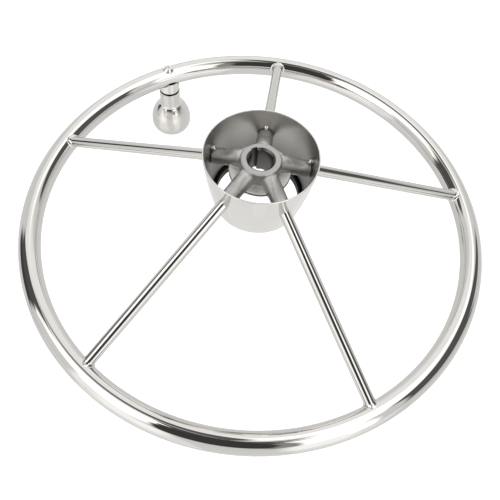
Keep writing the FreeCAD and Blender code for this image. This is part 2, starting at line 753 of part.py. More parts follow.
def make_lower_bush():
    """Lower bush: a flanged bearing pushed up from the grip's cavity."""
    body = new_body("knob_lower_bush")
    half = new_sketch(body, "lower_bush_section")
    add_outline(half, [
        (BUSH_BORE_RADIUS, f"-{LOWER_FLANGE_FOOT}"),
        ("dim.lower_flange_diameter / 2", f"-{LOWER_FLANGE_FOOT}"),
        ("dim.lower_flange_diameter / 2", f"-{CAVITY_ROOF}"),
        (BUSH_RADIUS, f"-{CAVITY_ROOF}"),
        (BUSH_RADIUS, f"-({CAVITY_ROOF} - dim.bush_length)"),
        (BUSH_BORE_RADIUS, f"-({CAVITY_ROOF} - dim.bush_length)"),
    ])
    turn_solid(body, half)
    place_on_knob_axis(body)
    return body


def make_washer():
    """Thrust washer: carries the grip's weight on the retaining clip."""
    body = new_body("knob_thrust_washer")
    half = new_sketch(body, "washer_section")
    ring_outline(half, BUSH_BORE_RADIUS, "dim.washer_diameter / 2", WASHER_TOP, CLIP_TOP)
    turn_solid(body, half)
    place_on_knob_axis(body)
    return body


def make_clip():
    """Retaining clip: an open ring snapped into the spindle's groove."""
    body = new_body("knob_retaining_clip")
    half = new_sketch(body, "clip_section")
    inner = f"{SPINDLE_RADIUS} - dim.clip_groove_depth"
    ring_outline(half, inner, "dim.clip_diameter / 2", CLIP_TOP, CLIP_FOOT)
    turn_solid(body, half)
    opening = new_sketch(body, "clip_opening_slot", "XY_Plane")
    add_outline(opening, [
        ("0", "-dim.clip_opening / 2"),
        ("dim.clip_diameter", "-dim.clip_opening / 2"),
        ("dim.clip_diameter", "dim.clip_opening / 2"),
        ("0", "dim.clip_opening / 2"),
    ])
    cut_through(body, opening)
    place_on_knob_axis(body)
    return body


def make_plug():
    """End plug: closes the grip's cavity flush with its foot."""
    body = new_body("knob_end_plug")
    half = new_sketch(body, "plug_section")
    ring_outline(
        half, "0", "dim.cavity_diameter / 2", f"{GRIP_FOOT} - dim.plug_thickness", GRIP_FOOT)
    turn_solid(body, half)
    place_on_knob_axis(body)
    return body


def make_parts():
    """Return every sub-part of the wheel, each with its own label and placement."""
    parts = [make_rim()]
    for index, label in enumerate(SPOKE_NAMES):
        parts.append(make_spoke(label, f"dim.first_spoke_angle + {index * SPOKE_STEP}"))
    parts += [make_spider(), make_shell(), make_seat_ring(), make_tack_welds()]
    parts += [make_screw(), make_pad(), make_spindle(), make_upper_bush(), make_grip()]
    parts += [make_lower_bush(), make_washer(), make_clip(), make_plug()]
    return parts


def check_document(parts):
    """Stop the build if any object failed or any sub-part's shape is unsound."""
    doc.recompute()
    for item in doc.Objects:
        if "Invalid" in item.State or "Error" in item.State:
            raise RuntimeError(f"{item.Label} failed: {item.State}")
    for part in parts:
        if part.Shape.isNull() or not part.Shape.isValid() or not part.Shape.Solids:
            raise RuntimeError(f"{part.Label} has no sound solid")


wheel_parts = make_parts()
check_document(wheel_parts)
os.makedirs("parts", exist_ok=True)
for part in wheel_parts:
    part.Shape.exportStep(f"parts/{part.Label}.step")
    print(part.Label, len(part.Shape.Solids), round(part.Shape.Volume, 1))
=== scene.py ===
"""Studio scene of a stainless boat steering wheel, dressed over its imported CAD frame.

Each visible piece is a surface worked out with numpy and put in its own place in the wheel's
frame: the origin is the middle of the taper bore's mouth, +Z runs out of that mouth, and the rim
hangs below the hub. Lengths in the classes are millimetres and become metres in the meshes.
"""
import logging
import math
from collections.abc import Callable
from dataclasses import dataclass, field
from enum import Enum, IntEnum

import bpy
import numpy as np
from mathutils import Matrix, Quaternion, Vector

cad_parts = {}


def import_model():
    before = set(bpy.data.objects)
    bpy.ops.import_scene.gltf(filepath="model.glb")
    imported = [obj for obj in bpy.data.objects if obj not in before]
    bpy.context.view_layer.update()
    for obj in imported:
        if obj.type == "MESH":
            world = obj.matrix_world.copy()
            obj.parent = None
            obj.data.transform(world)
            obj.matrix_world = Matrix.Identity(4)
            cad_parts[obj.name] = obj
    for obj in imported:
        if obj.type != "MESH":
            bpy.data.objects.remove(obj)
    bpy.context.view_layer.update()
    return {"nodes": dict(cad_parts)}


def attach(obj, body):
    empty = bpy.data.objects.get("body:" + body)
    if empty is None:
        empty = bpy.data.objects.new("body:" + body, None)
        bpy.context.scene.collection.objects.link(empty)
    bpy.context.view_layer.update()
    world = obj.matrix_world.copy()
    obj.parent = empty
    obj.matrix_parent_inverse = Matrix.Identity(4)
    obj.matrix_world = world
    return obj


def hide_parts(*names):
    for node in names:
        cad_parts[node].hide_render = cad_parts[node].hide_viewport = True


LOG = logging.getLogger("steering_wheel")
MM = 0.001
TURN = 2 * math.pi
UP = np.array([0.0, 0.0, 1.0])
WHITE = (1.0, 1.0, 1.0, 1.0)
SPOKE_COUNT = 5
SPOKE_STEP = 360 / SPOKE_COUNT
Triple = tuple[float, float, float]


class Body(Enum):
    """The two bodies of the wheel's motion."""

    WHEEL = "wheel"
    KNOB = "knob"


class SpokeFace(IntEnum):
    """A spoke's finishes, in the order of its materials."""

    ROD = 0
    WELD = 1


class ShellFace(IntEnum):
    """The hub shell's finishes, in the order of its materials."""

    OUTSIDE = 0
    INSIDE = 1
    LIP = 2


class CastFace(IntEnum):
    """The casting's finishes, in the order of its materials."""

    SKIN = 0
    MACHINED = 1
    BORE = 2


class GripFace(IntEnum):
    """The grip's finishes, in the order of its materials."""

    TURNED = 0
    POLISHED = 1


def linked(name: str, data: bpy.types.ID) -> bpy.types.Object:
    """Return a new object of a mesh or camera, linked to the scene.

    Args:
        name: Name of the object.
        data: Its mesh or camera.

    Returns:
        The new object.
    """
    made = bpy.data.objects.new(name, data)
    bpy.context.scene.collection.objects.link(made)
    return made


def angles(columns: int) -> np.ndarray:
    """Return equal steps of angle once round a circle."""
    return np.linspace(0, TURN, columns, endpoint=False)


def circle(columns: int) -> np.ndarray:
    """Return the level unit vectors (cos a, sin a, 0) at those angles."""
    turn = angles(columns)
    return np.stack([np.cos(turn), np.sin(turn), np.zeros_like(turn)], 1)


@dataclass
class Surface:
    """Vertices, outward normals and faces of one piece, gathered grid by grid."""

    points: list[np.ndarray] = field(default_factory=list)
    normals: list[np.ndarray] = field(default_factory=list)
    faces: list[list[int]] = field(default_factory=list)
    finishes: list[int] = field(default_factory=list)
    count: int = 0

    def add_grid(self, points: np.ndarray, normals: np.ndarray, finish: np.ndarray | None = None,
                 poles: tuple[bool, bool] = (False, False), ring: bool = False) -> None:
        """Add a grid of points whose columns close round on themselves.

        Each face joins a point, its neighbour in the row and the same two of the next row.

        Args:
            points: Rows by columns by 3, in millimetres.
            normals: Outward normals of the same shape.
            finish: Material number of each row, taken by the band that ends at it.
            poles: Whether the first and the last row are single points on the axis.
            ring: Whether the last row joins the first again.
        """
        rows, columns = points.shape[:2]
        index = np.arange(rows * columns).reshape(rows, columns)
        keep = np.ones(rows * columns, dtype=bool)
        for row, pole in ((0, poles[0]), (rows - 1, poles[1])):
            if pole:
                keep[index[row, 1:]] = False
                index[row, :] = index[row, 0]
        index = (np.cumsum(keep) - 1)[index] + self.count
        finish = np.zeros(rows, dtype=int) if finish is None else finish
        if ring:
            index = np.vstack([index, index[:1]])
            finish = np.append(finish, finish[0])
        low, high = index[:-1], index[1:]
        quads = np.stack([low, np.roll(low, -1, 1), np.roll(high, -1, 1), high], -1)
        last = len(quads) - 1
        for band, cells in enumerate(quads):
            if band == 0 and poles[0]:
                cells = cells[:, [0, 2, 3]]
            elif band == last and poles[1]:
                cells = cells[:, [0, 1, 2]]
            self.faces.extend(cells.tolist())
            self.finishes.extend([int(finish[band + 1])] * columns)
        self.points.append(points.reshape(-1, 3)[keep])
        self.normals.append(normals.reshape(-1, 3)[keep])
        self.count += int(keep.sum())

    def build(self, name: str) -> bpy.types.Object:
        """Return the surface as a mesh object, in metres, shaded with its own normals.

        Args:
            name: Name of the piece.

        Returns:
            The new object.
        """
        points = np.concatenate(self.points) * MM
        normals = np.concatenate(self.normals)
        normals = normals / np.linalg.norm(normals, axis=1, keepdims=True)
        mesh = bpy.data.meshes.new(name)
        mesh.from_pydata(points.tolist(), [], self.faces)
        mesh.polygons.foreach_set("material_index", np.array(self.finishes, dtype=np.int32))
        mesh.polygons.foreach_set("use_smooth", np.ones(len(self.faces), dtype=bool))
        mesh.update()
        mesh.normals_split_custom_set_from_vertices(normals.tolist())
        return linked(name, mesh)


@dataclass(frozen=True)
class Corner:
    """A corner of a section: radius, height, rounding, and the bow and finish of its next edge."""

    radius: float
    height: float
    rounding: float = 0.3
    bow: float = 0.0
    finish: int = 0


@dataclass(frozen=True)
class Section:
    """The outline of a turned piece. Its way keeps the material on its left.

    A rounding takes at most the longest share of an edge. The corner pull is how far a rounding's
    inner knots stand off its ends, as a share of its chord.
    """

    corners: tuple[Corner, ...]
    closed: bool = False
    arc_steps: int = 6
    edge_steps: int = 4
    bow_steps: int = 20
    longest: float = 0.45
    corner_pull: float = 0.39

    @staticmethod
    def edge(start: np.ndarray, finish: np.ndarray, bow: float,
             share: np.ndarray) -> tuple[np.ndarray, np.ndarray]:
        """Return points and directions along one edge, which may bow out to its right.

        A bowed edge is the parabola that stands 4 * bow * s * (1 - s) off its chord.

        Args:
            start: Where the edge starts.
            finish: Where it ends.
            bow: How far it bows out at its middle.
            share: Places along it, from 0 to 1.

        Returns:
            The points, and the unit vectors along the edge there.
        """
        chord = finish - start
        out = np.array([chord[1], -chord[0]]) / np.linalg.norm(chord)
        points = start + share[:, None] * chord + (4 * bow * share * (1 - share))[:, None] * out
        ways = chord[None, :] + (4 * bow * (1 - 2 * share))[:, None] * out
        return points, ways / np.linalg.norm(ways, axis=1, keepdims=True)

    def trace(self) -> tuple[np.ndarray, np.ndarray, np.ndarray]:
        """Return the outline's points, their outward normals and the finish of each point.

        A rounded corner is a cubic curve that leaves one edge and meets the next along their
        own directions, so the outline has no kink.

        Returns:
            The points, the normals and the finish numbers, row by row.
        """
        spots = [np.array([corner.radius, corner.height], dtype=float) for corner in self.corners]
        total = len(spots)
        edges = total if self.closed else total - 1
        runs = []
        for number in range(edges):
            corner, after = self.corners[number], self.corners[(number + 1) % total]
            start, finish = spots[number], spots[(number + 1) % total]
            length = float(np.linalg.norm(finish - start))
            sharp_start = not self.closed and number == 0
            sharp_finish = not self.closed and number == edges - 1
            first = 0.0 if sharp_start else min(corner.rounding / length, self.longest)
            last = 1.0 if sharp_finish else 1 - min(after.rounding / length, self.longest)
            steps = self.edge_steps if corner.bow == 0 else self.bow_steps
            share = np.linspace(first, last, steps + 1)
            runs.append((*self.edge(start, finish, corner.bow, share), corner.finish))
        points, ways, finishes = [], [], []
        for number, (line, way, finish) in enumerate(runs):
            points.append(line)
            ways.append(way)
            finishes.append(np.full(len(line), finish))
            if number < len(runs) - 1 or self.closed:
                after = runs[(number + 1) % len(runs)]
                curve, lead = self.round_corner(line[-1], way[-1], after[0][0], after[1][0])
                points.append(curve)
                ways.append(lead)
                finishes.append(np.full(len(curve), after[2]))
        way = np.concatenate(ways)
        normal = np.stack([way[:, 1], -way[:, 0]], 1)
        return np.concatenate(points), normal, np.concatenate(finishes)

    def round_corner(self, start: np.ndarray, leave: np.ndarray, finish: np.ndarray,
                     meet: np.ndarray) -> tuple[np.ndarray, np.ndarray]:
        """Return the points and directions inside a rounded corner, a cubic curve.

        Args:
            start: Where the curve leaves one edge.
            leave: That edge's direction.
            finish: Where it meets the next edge.
            meet: The next edge's direction.

        Returns:
            The inner points, and the unit vectors along the curve there.
        """
        reach = np.linalg.norm(finish - start) * self.corner_pull
        knots = [start, start + leave * reach, finish - meet * reach, finish]
        share = np.linspace(0, 1, self.arc_steps + 1)[1:-1, None]
        rest = 1 - share
        curve = (rest ** 3 * knots[0] + 3 * rest ** 2 * share * knots[1]
                 + 3 * rest * share ** 2 * knots[2] + share ** 3 * knots[3])
        lead = (rest ** 2 * (knots[1] - knots[0]) + 2 * rest * share * (knots[2] - knots[1])
                + share ** 2 * (knots[3] - knots[2]))
        return curve, lead / np.linalg.norm(lead, axis=1, keepdims=True)


def swept(line: np.ndarray, angle: np.ndarray) -> np.ndarray:
    """Turn an outline of radius and height about the upright axis, one column for each angle.

    Args:
        line: Points of radius and height.
        angle: Angles of the columns.

    Returns:
        Rows by columns by 3, (r cos a, r sin a, h).
    """
    across = line[:, :1] * np.cos(angle)[None, :]
    along = line[:, :1] * np.sin(angle)[None, :]
    return np.stack([across, along, np.broadcast_to(line[:, 1:], across.shape)], -1)


def turned(name: str, section: Section, columns: int,
           middle: Triple = (0.0, 0.0, 0.0)) -> bpy.types.Object:
    """Return the solid that a section sweeps about an upright axis.

    Each point is (r cos a, r sin a, h) plus the middle, for a section point at radius r, height h.

    Args:
        name: Name of the piece.
        section: Its outline, in millimetres.
        columns: Number of steps round the axis.
        middle: Where the axis stands and what height 0 means, in millimetres.

    Returns:
        The new object.
    """
    line, normal, finish = section.trace()
    angle = angles(columns)
    poles = (not section.closed, not section.closed)
    surface = Surface()
    surface.add_grid(swept(line, angle) + np.array(middle), swept(normal, angle), finish,
                     poles, section.closed)
    return surface.build(name)


def smooth_min(first: np.ndarray, second: np.ndarray, blend: float) -> np.ndarray:
    """Return the lesser of two fields, with a fillet where they are close to each other.

    It is min(a, b) - blend * n * n / 4, where n is how far (blend - |a - b|) / blend is above 0.

    Args:
        first: One field.
        second: The other field.
        blend: How close they are where the fillet starts.

    Returns:
        The joined field.
    """
    near = np.maximum(blend - np.abs(first - second), 0) / blend
    return np.minimum(first, second) - blend * near ** 2 / 4


def smooth_max(first: np.ndarray, second: np.ndarray, blend: float) -> np.ndarray:
    """Return the greater of two fields, rounded where they are close to each other."""
    return -smooth_min(-first, -second, blend)


def round_box(across: np.ndarray, up: np.ndarray, half_width: float, half_height: float,
              rounding: float) -> np.ndarray:
    """Return the distance to a rectangle about the origin with rounded corners.

    Args:
        across: Places across the rectangle, from its middle.
        up: Heights, from its middle.
        half_width: Half its width.
        half_height: Half its height.
        rounding: Radius of its corners.

    Returns:
        The distances, below 0 inside.
    """
    over = np.stack([np.abs(across) - half_width, np.abs(up) - half_height]) + rounding
    outside = np.hypot(*np.maximum(over, 0))
    return outside + np.minimum(over.max(axis=0), 0) - rounding


@dataclass(frozen=True)
class Lattice:
    """A box of small cells in which the zero level of a field is meshed. It is below 0 inside.

    The slope of the field is read over a probe step, a share of a cell.
    """

    low: Triple
    high: Triple
    cell: float
    newton_steps: int = 4
    probe: float = 0.05
    least_steepness: float = 0.2

    def mesh(self, field_of: Callable[[np.ndarray], np.ndarray]) -> tuple[np.ndarray, np.ndarray]:
        """Return the vertices and the four-sided faces of the field's zero level.

        Each crossed cell has one vertex, the mean of the crossings on its edges, and each crossed
        edge has one face, which joins the four cells round it. Newton steps then settle the
        vertices on the level.

        Args:
            field_of: Gives the field's values at an array of points.

        Returns:
            The vertices, and the four vertex numbers of each face.
        """
        axes = [np.arange(low, high + self.cell, self.cell)
                for low, high in zip(self.low, self.high)]
        value = field_of(np.stack(np.meshgrid(*axes, indexing="ij"), -1))
        inside = value < 0
        unit = np.eye(3, dtype=int)
        size = np.array(value.shape) - 1
        count = np.zeros(tuple(size), dtype=int)
        for corner in np.ndindex(2, 2, 2):
            count += inside[tuple(slice(c, c + n) for c, n in zip(corner, size))]
        crossed = (count > 0) & (count < 8)
        cells = np.argwhere(crossed)
        number = np.full(crossed.shape, -1)
        number[crossed] = np.arange(len(cells))
        total, weight = np.zeros((len(cells), 3)), np.zeros(len(cells))
        faces = []
        for axis in range(3):
            across, up = unit[(axis + 1) % 3], unit[(axis + 2) % 3]
            for shift in ((0, 0), (1, 0), (0, 1), (1, 1)):
                start = cells + shift[0] * across + shift[1] * up
                ahead = start + unit[axis]
                one, two = value[tuple(start.T)], value[tuple(ahead.T)]
                cross = (one < 0) != (two < 0)
                share = np.where(cross, one / np.where(cross, one - two, 1), 0)
                total += np.where(cross[:, None], start + share[:, None] * unit[axis], 0)
                weight += cross
            length = [slice(0, n + 1 - u) for n, u in zip(size, unit[axis])]
            further = [slice(u, n + 1) for n, u in zip(size, unit[axis])]
            edge = np.argwhere(inside[tuple(length)] != inside[tuple(further)])
            quad = np.stack([number[tuple((edge - back).T)]
                             for back in (across + up, up, 0 * up, across)], 1)
            outward = inside[tuple(edge.T)]
            faces.append(np.where(outward[:, None], quad, quad[:, ::-1]))
        points = np.array(self.low) + total / weight[:, None] * self.cell
        step = self.probe * self.cell
        for _ in range(self.newton_steps):
            slope = np.stack([field_of(points + step * way) - field_of(points - step * way)
                              for way in unit], -1) / (2 * step)
            steep = np.maximum((slope ** 2).sum(axis=1), self.least_steepness)
            points = points - (field_of(points) / steep)[:, None] * slope
        return points, np.concatenate(faces)


def rod_between(surface: Surface, start: np.ndarray, way: np.ndarray, radius: float,
                length: float, columns: int = 48) -> None:
    """Add a plain rod to a surface: rings of one radius round a line, closed at both ends.

    Args:
        surface: What the rod is added to.
        start: Middle of its first end.
        way: Unit vector along it.
        radius: Its radius.
        length: Its length.
        columns: Number of steps round it.
    """
    turn = angles(columns)
    across = np.cross(way, UP)
    across = across / np.linalg.norm(across)
    out = np.cos(turn)[:, None] * across + np.sin(turn)[:, None] * np.cross(across, way)
    rows = [start + 0 * out, start + radius * out, start + length * way + radius * out,
            start + length * way + 0 * out]
    surface.add_grid(np.stack(rows)[::-1], np.stack([out] * 4)[::-1], poles=(True, True))


class Wiring:
    """Adds nodes to a node tree and links them."""

    def __init__(self, tree: bpy.types.NodeTree) -> None:
        """Start on a tree, with nothing in it."""
        self.tree = tree
        tree.nodes.clear()

    def feed(self, socket: bpy.types.NodeSocket, value: object) -> None:
        """Link a socket to the value if it is an output, or else set it there.

        Args:
            socket: The input socket.
            value: A number, a vector or an output.
        """
        if isinstance(value, bpy.types.NodeSocket):
            self.tree.links.new(value, socket)
        else:
            socket.default_value = value

    def add(self, kind: str, inputs: dict[str | int, object] | None = None,
            **settings: object) -> bpy.types.Node:
        """Add a node, set its properties and feed its inputs.

        Args:
            kind: Blender's name of the node type.
            inputs: Values or outputs for its input sockets, by name or number.
            settings: Properties of the node itself.

        Returns:
            The new node.
        """
        node = self.tree.nodes.new(kind)
        for name, value in settings.items():
            setattr(node, name, value)
        for key, value in (inputs or {}).items():
            self.feed(node.inputs[key], value)
        return node

    def maths(self, operation: str, *values: object) -> bpy.types.NodeSocket:
        """Return the output of a Math node over some values."""
        return self.add("ShaderNodeMath", dict(enumerate(values)), operation=operation).outputs[0]

    def ramp(self, value: object, low: float, high: float, start: float = 0.0,
             finish: float = 1.0, smooth: bool = True) -> bpy.types.NodeSocket:
        """Return a value carried from the range low to high onto start to finish.

        Args:
            value: The value or output to carry over.
            low: Start of its range.
            high: End of its range.
            start: Result at the start.
            finish: Result at the end.
            smooth: Whether it eases in and out.

        Returns:
            The output of the node.
        """
        node = self.add("ShaderNodeMapRange", {0: value, 1: low, 2: high, 3: start, 4: finish},
                        interpolation_type="SMOOTHSTEP" if smooth else "LINEAR")
        return node.outputs[0]

    def noise(self, place: object, size: float, detail: float,
              roughness: float = 0.5) -> bpy.types.NodeSocket:
        """Return a noise over a place, with spots about so many millimetres across."""
        return self.add("ShaderNodeTexNoise", {
            "Vector": place, "Scale": 1 / (size * MM), "Detail": detail,
            "Roughness": roughness}).outputs[0]


def blank_material(name: str) -> tuple[bpy.types.Material, Wiring]:
    """Return a new material with nothing in its node tree, and the wiring of that tree."""
    material = bpy.data.materials.new(name)
    material.use_nodes = True
    return material, Wiring(material.node_tree)


@dataclass(frozen=True)
class Panel:
    """A light or dark card of the studio, as the metal sees it: a patch of sky with soft edges.

    Its angles are in degrees, and azimuth 0 is +X. A lean moves its middle sideways by so many
    degrees for each degree of elevation.
    """

    azimuth: float
    half_width: float
    elevation: float
    half_height: float
    level: float
    softness: float = 6.0
    lean: float = 0.0


@dataclass(frozen=True)
class Studio:
    """White studio: a plain bright tent, with lit panels and dark gaps that the steel reflects.

    Each panel lies over those before it.
    """

    base_level: float = 0.90
    panels: tuple[Panel, ...] = (
        Panel(91, 36, 33, 28, 1.21, 5, 0.20),
        Panel(-140, 35, 4, 18, 1.33, 5, -0.58),
        Panel(118, 58, -49, 30, 0.84, 5, 0.37),
        Panel(-118, 117, 85, 6, 0.09, 2, -1.13),
        Panel(31, 60, 67, 11, 1.85, 5, 0.22),
        Panel(98, 18, 79, 17, 0.14, 5, -0.61),
        Panel(-156, 60, 65, 15, 1.85, 2, 0.66),
        Panel(-155, 34, 40, 13, 1.85, 5, 0.60),
        Panel(171, 13, 27, 35, 0.11, 5, -0.72),
        Panel(-101, 51, 79, 13, 0.10, 2, -1.72),
        Panel(-98, 32, 65, 36, 0.06, 5, -0.37),
        Panel(-53, 17, 45, 23, 0.37, 5, 0.29),
        Panel(-47, 15, 36, 35, 1.85, 5, 0.19),
        Panel(11, 30, 34, 25, 0.12, 5, 0.34),
        Panel(-179, 22, 11, 14, 0.07, 5, -0.16),
        Panel(-165, 13, 18, 24, 0.92, 5, -0.08),
        Panel(-4, 20, 6, 10, 0.80, 2, -1.12),
        Panel(38, 23, 15, 9, 0.83, 5, -0.24),
        Panel(-90, 59, -23, 27, 1.14, 5, 0.25),
        Panel(-83, 17, -34, 41, 0.94, 5, -0.12),
        Panel(234, 14, 4, 22, 1.45, 10),
        Panel(302, 12, 4, 22, 1.45, 10),
    )

    def build(self) -> None:
        """Make the world: white to the camera, and the tent and its panels to everything else."""
        world = bpy.data.worlds.new("studio_world")
        world.use_nodes = True
        bpy.context.scene.world = world
        wiring = Wiring(world.node_tree)
        way = wiring.add("ShaderNodeTexCoord").outputs["Generated"]
        parts = wiring.add("ShaderNodeSeparateXYZ", {0: way}).outputs
        azimuth = wiring.maths("DEGREES", wiring.maths("ARCTAN2", parts["Y"], parts["X"]))
        elevation = wiring.maths("DEGREES", wiring.maths("ARCSINE", parts["Z"]))
        level: object = self.base_level
        for panel in self.panels:
            level = self.lay(wiring, level, azimuth, elevation, panel)
        studio = wiring.add("ShaderNodeBackground", {"Color": WHITE, "Strength": level})
        white = wiring.add("ShaderNodeBackground", {"Color": WHITE, "Strength": 1.0})
        seen = wiring.add("ShaderNodeLightPath").outputs["Is Camera Ray"]
        mixed = wiring.add("ShaderNodeMixShader", {0: seen, 1: studio.outputs[0],
                                                   2: white.outputs[0]})
        wiring.add("ShaderNodeOutputWorld", {0: mixed.outputs[0]})

    @staticmethod
    def lay(wiring: Wiring, level: object, azimuth: bpy.types.NodeSocket,
            elevation: bpy.types.NodeSocket, panel: Panel) -> bpy.types.NodeSocket:
        """Lay one panel over the level so far, and return the new level.

        Its cover is 1 within the half width and half height and falls to 0 across its soft edge.

        Args:
            wiring: The world's wiring.
            level: The brightness so far.
            azimuth: Azimuth of the way looked at.
            elevation: Elevation of the way looked at.
            panel: The panel.

        Returns:
            The brightness with the panel in it.
        """
        rise = wiring.maths("SUBTRACT", elevation, panel.elevation)
        shift = wiring.maths("MULTIPLY_ADD", rise, -panel.lean, azimuth)
        side = wiring.maths("WRAP", wiring.maths("SUBTRACT", shift, panel.azimuth), 180.0, -180.0)
        half = panel.softness / 2
        across = wiring.ramp(wiring.maths("ABSOLUTE", side), panel.half_width + half,
                             panel.half_width - half)
        along = wiring.ramp(wiring.maths("ABSOLUTE", rise), panel.half_height + half,
                            panel.half_height - half)
        cover = wiring.maths("MULTIPLY", across, along)
        mix = wiring.add("ShaderNodeMix", {0: cover, 2: level, 3: panel.level}, data_type="FLOAT")
        return mix.outputs[0]


@dataclass(frozen=True)
class Floor:
    """Plain pale floor below the wheel. It shows white and keeps the wheel's soft shadow."""

    height: float = -0.46
    half_width: float = 6.0
    colour: float = 0.8
    glow: float = 0.45

    def build(self) -> None:
        """Make the floor as one square face that is seen from above only."""
        half = self.half_width
        mesh = bpy.data.meshes.new("floor")
        mesh.from_pydata([(-half, -half, self.height), (half, -half, self.height),
                          (half, half, self.height), (-half, half, self.height)],
                         [], [(0, 1, 2, 3)])
        floor = linked("floor", mesh)
        floor.visible_glossy = False
        material, wiring = blank_material("floor_paper")
        paint = (self.colour, self.colour, self.colour, 1.0)
        matt = wiring.add("ShaderNodeBsdfDiffuse", {"Color": paint})
        glow = wiring.add("ShaderNodeEmission", {"Strength": self.glow})
        path = wiring.add("ShaderNodeLightPath").outputs
        seen = wiring.maths("MAXIMUM", path["Is Camera Ray"], path["Is Transmission Ray"])
        lit = wiring.add("ShaderNodeAddShader", {0: matt.outputs[0], 1: glow.outputs[0]})
        shown = wiring.add("ShaderNodeMixShader", {0: seen, 1: matt.outputs[0], 2: lit.outputs[0]})
        clear = wiring.add("ShaderNodeBsdfTransparent")
        below = wiring.add("ShaderNodeNewGeometry").outputs["Backfacing"]
        side = wiring.add("ShaderNodeMixShader", {0: below, 1: shown.outputs[0],
                                                  2: clear.outputs[0]})
        wiring.add("ShaderNodeOutputMaterial", {0: side.outputs[0]})
        mesh.materials.append(material)


@dataclass(frozen=True)
class Eye:
    """The camera, at the photograph's viewing angle. Places are in metres, angles in degrees."""

    place: Triple = (0.0, -0.30678, 0.38925)
    aim: Triple = (-0.00049, -0.02649, -0.09)
    roll: float = 6.537
    focal_pixels: float = 657.54
    image_width: float = 500.0
    sensor: float = 36.0

    def build(self) -> None:
        """Make the camera and give it to the scene."""
        data = bpy.data.cameras.new("camera")
        data.sensor_width = self.sensor
        data.lens = self.focal_pixels * self.sensor / self.image_width
        data.clip_start = 0.01
        camera = linked("camera", data)
        look = Vector(self.aim) - Vector(self.place)
        level = look.to_track_quat("-Z", "Y")
        camera.rotation_mode = "QUATERNION"
        camera.rotation_quaternion = level @ Quaternion((0, 0, 1), math.radians(self.roll))
        camera.location = self.place
        bpy.context.scene.camera = camera


@dataclass(frozen=True)
class Steel:
    """A steel finish. Lengths of its grain are in millimetres.

    Fine noise varies the roughness, and another noise or drawn-out scratches raise the bump.
    """

    name: str
    colour: Triple = (0.64, 0.625, 0.60)
    roughness: float = 0.05
    roughness_spread: float = 0.03
    smudge_size: float = 14.0
    grain_size: float = 0.4
    grain_height: float = 0.0
    shade_spread: float = 0.03
    stretch: Triple = (1.0, 1.0, 1.0)
    # painted shade: the heights, in millimetres, between which the colour darkens, and the share
    # by which it darkens
    painted_shade_heights: tuple[float, float] = (0.0, 0.0)
    painted_shade_share: float = 0.0

    def build(self) -> bpy.types.Material:
        """Return the material, all of whose patterns lie in Object coordinates.

        Where a painted shade share is given, painted shade darkens its colour by up to that share,
        growing from the first of the painted shade heights to the second.

        Returns:
            The new material.
        """
        material, wiring = blank_material(self.name)
        place = wiring.add("ShaderNodeTexCoord").outputs["Object"]
        smudge = wiring.noise(place, self.smudge_size, 4.0, 0.6)
        half = self.roughness_spread / 2
        rough = wiring.ramp(smudge, 0.3, 0.7, self.roughness - half, self.roughness + half)
        shade = wiring.ramp(smudge, 0.25, 0.75, 1 - self.shade_spread, 1.0)
        # painted shade: the colour darkens towards the second of the two heights
        if self.painted_shade_share > 0:
            height = wiring.add("ShaderNodeSeparateXYZ", {0: place}).outputs["Z"]
            high, low = self.painted_shade_heights
            painted_shade = wiring.ramp(height, high * MM, low * MM, 1.0, 1 - self.painted_shade_share)
            shade = wiring.maths("MULTIPLY", shade, painted_shade)
        tone = wiring.add("ShaderNodeVectorMath", {0: self.colour, 3: shade}, operation="SCALE")
        shader = wiring.add("ShaderNodeBsdfPrincipled", {
            "Base Color": tone.outputs[0], "Metallic": 1.0, "Roughness": rough})
        if self.grain_height > 0:
            drawn = wiring.add("ShaderNodeVectorMath", {0: place, 1: self.stretch},
                               operation="MULTIPLY").outputs[0]
            grain = wiring.noise(drawn, self.grain_size, 3.0)
            bump = wiring.add("ShaderNodeBump", {
                "Height": grain, "Strength": 1.0, "Distance": self.grain_height * MM})
            wiring.feed(shader.inputs["Normal"], bump.outputs[0])
        wiring.add("ShaderNodeOutputMaterial", {0: shader.outputs[0]})
        return material


@dataclass(frozen=True)
class Polymer:
    """A black rubber or plastic finish with a faint grain."""

    name: str
    colour: Triple = (0.008, 0.008, 0.008)
    roughness: float = 0.45
    roughness_spread: float = 0.12
    gloss: float = 0.15
    grain_size: float = 0.6
    grain_height: float = 0.03

    def build(self) -> bpy.types.Material:
        """Return the material, its grain in Object coordinates.

        Returns:
            The new material.
        """
        material, wiring = blank_material(self.name)
        place = wiring.add("ShaderNodeTexCoord").outputs["Object"]
        grain = wiring.noise(place, self.grain_size, 3.0)
        bump = wiring.add("ShaderNodeBump", {"Height": grain, "Distance": self.grain_height * MM})
        half = self.roughness_spread / 2
        rough = wiring.ramp(grain, 0.2, 0.8, self.roughness - half, self.roughness + half)
        shade = wiring.ramp(grain, 0.2, 0.8, 0.8, 1.2)
        tone = wiring.add("ShaderNodeVectorMath", {0: self.colour, 3: shade}, operation="SCALE")
        shader = wiring.add("ShaderNodeBsdfPrincipled", {
            "Base Color": tone.outputs[0], "Roughness": rough, "Normal": bump.outputs[0],
            "Specular IOR Level": self.gloss})
        wiring.add("ShaderNodeOutputMaterial", {0: shader.outputs[0]})
        return material


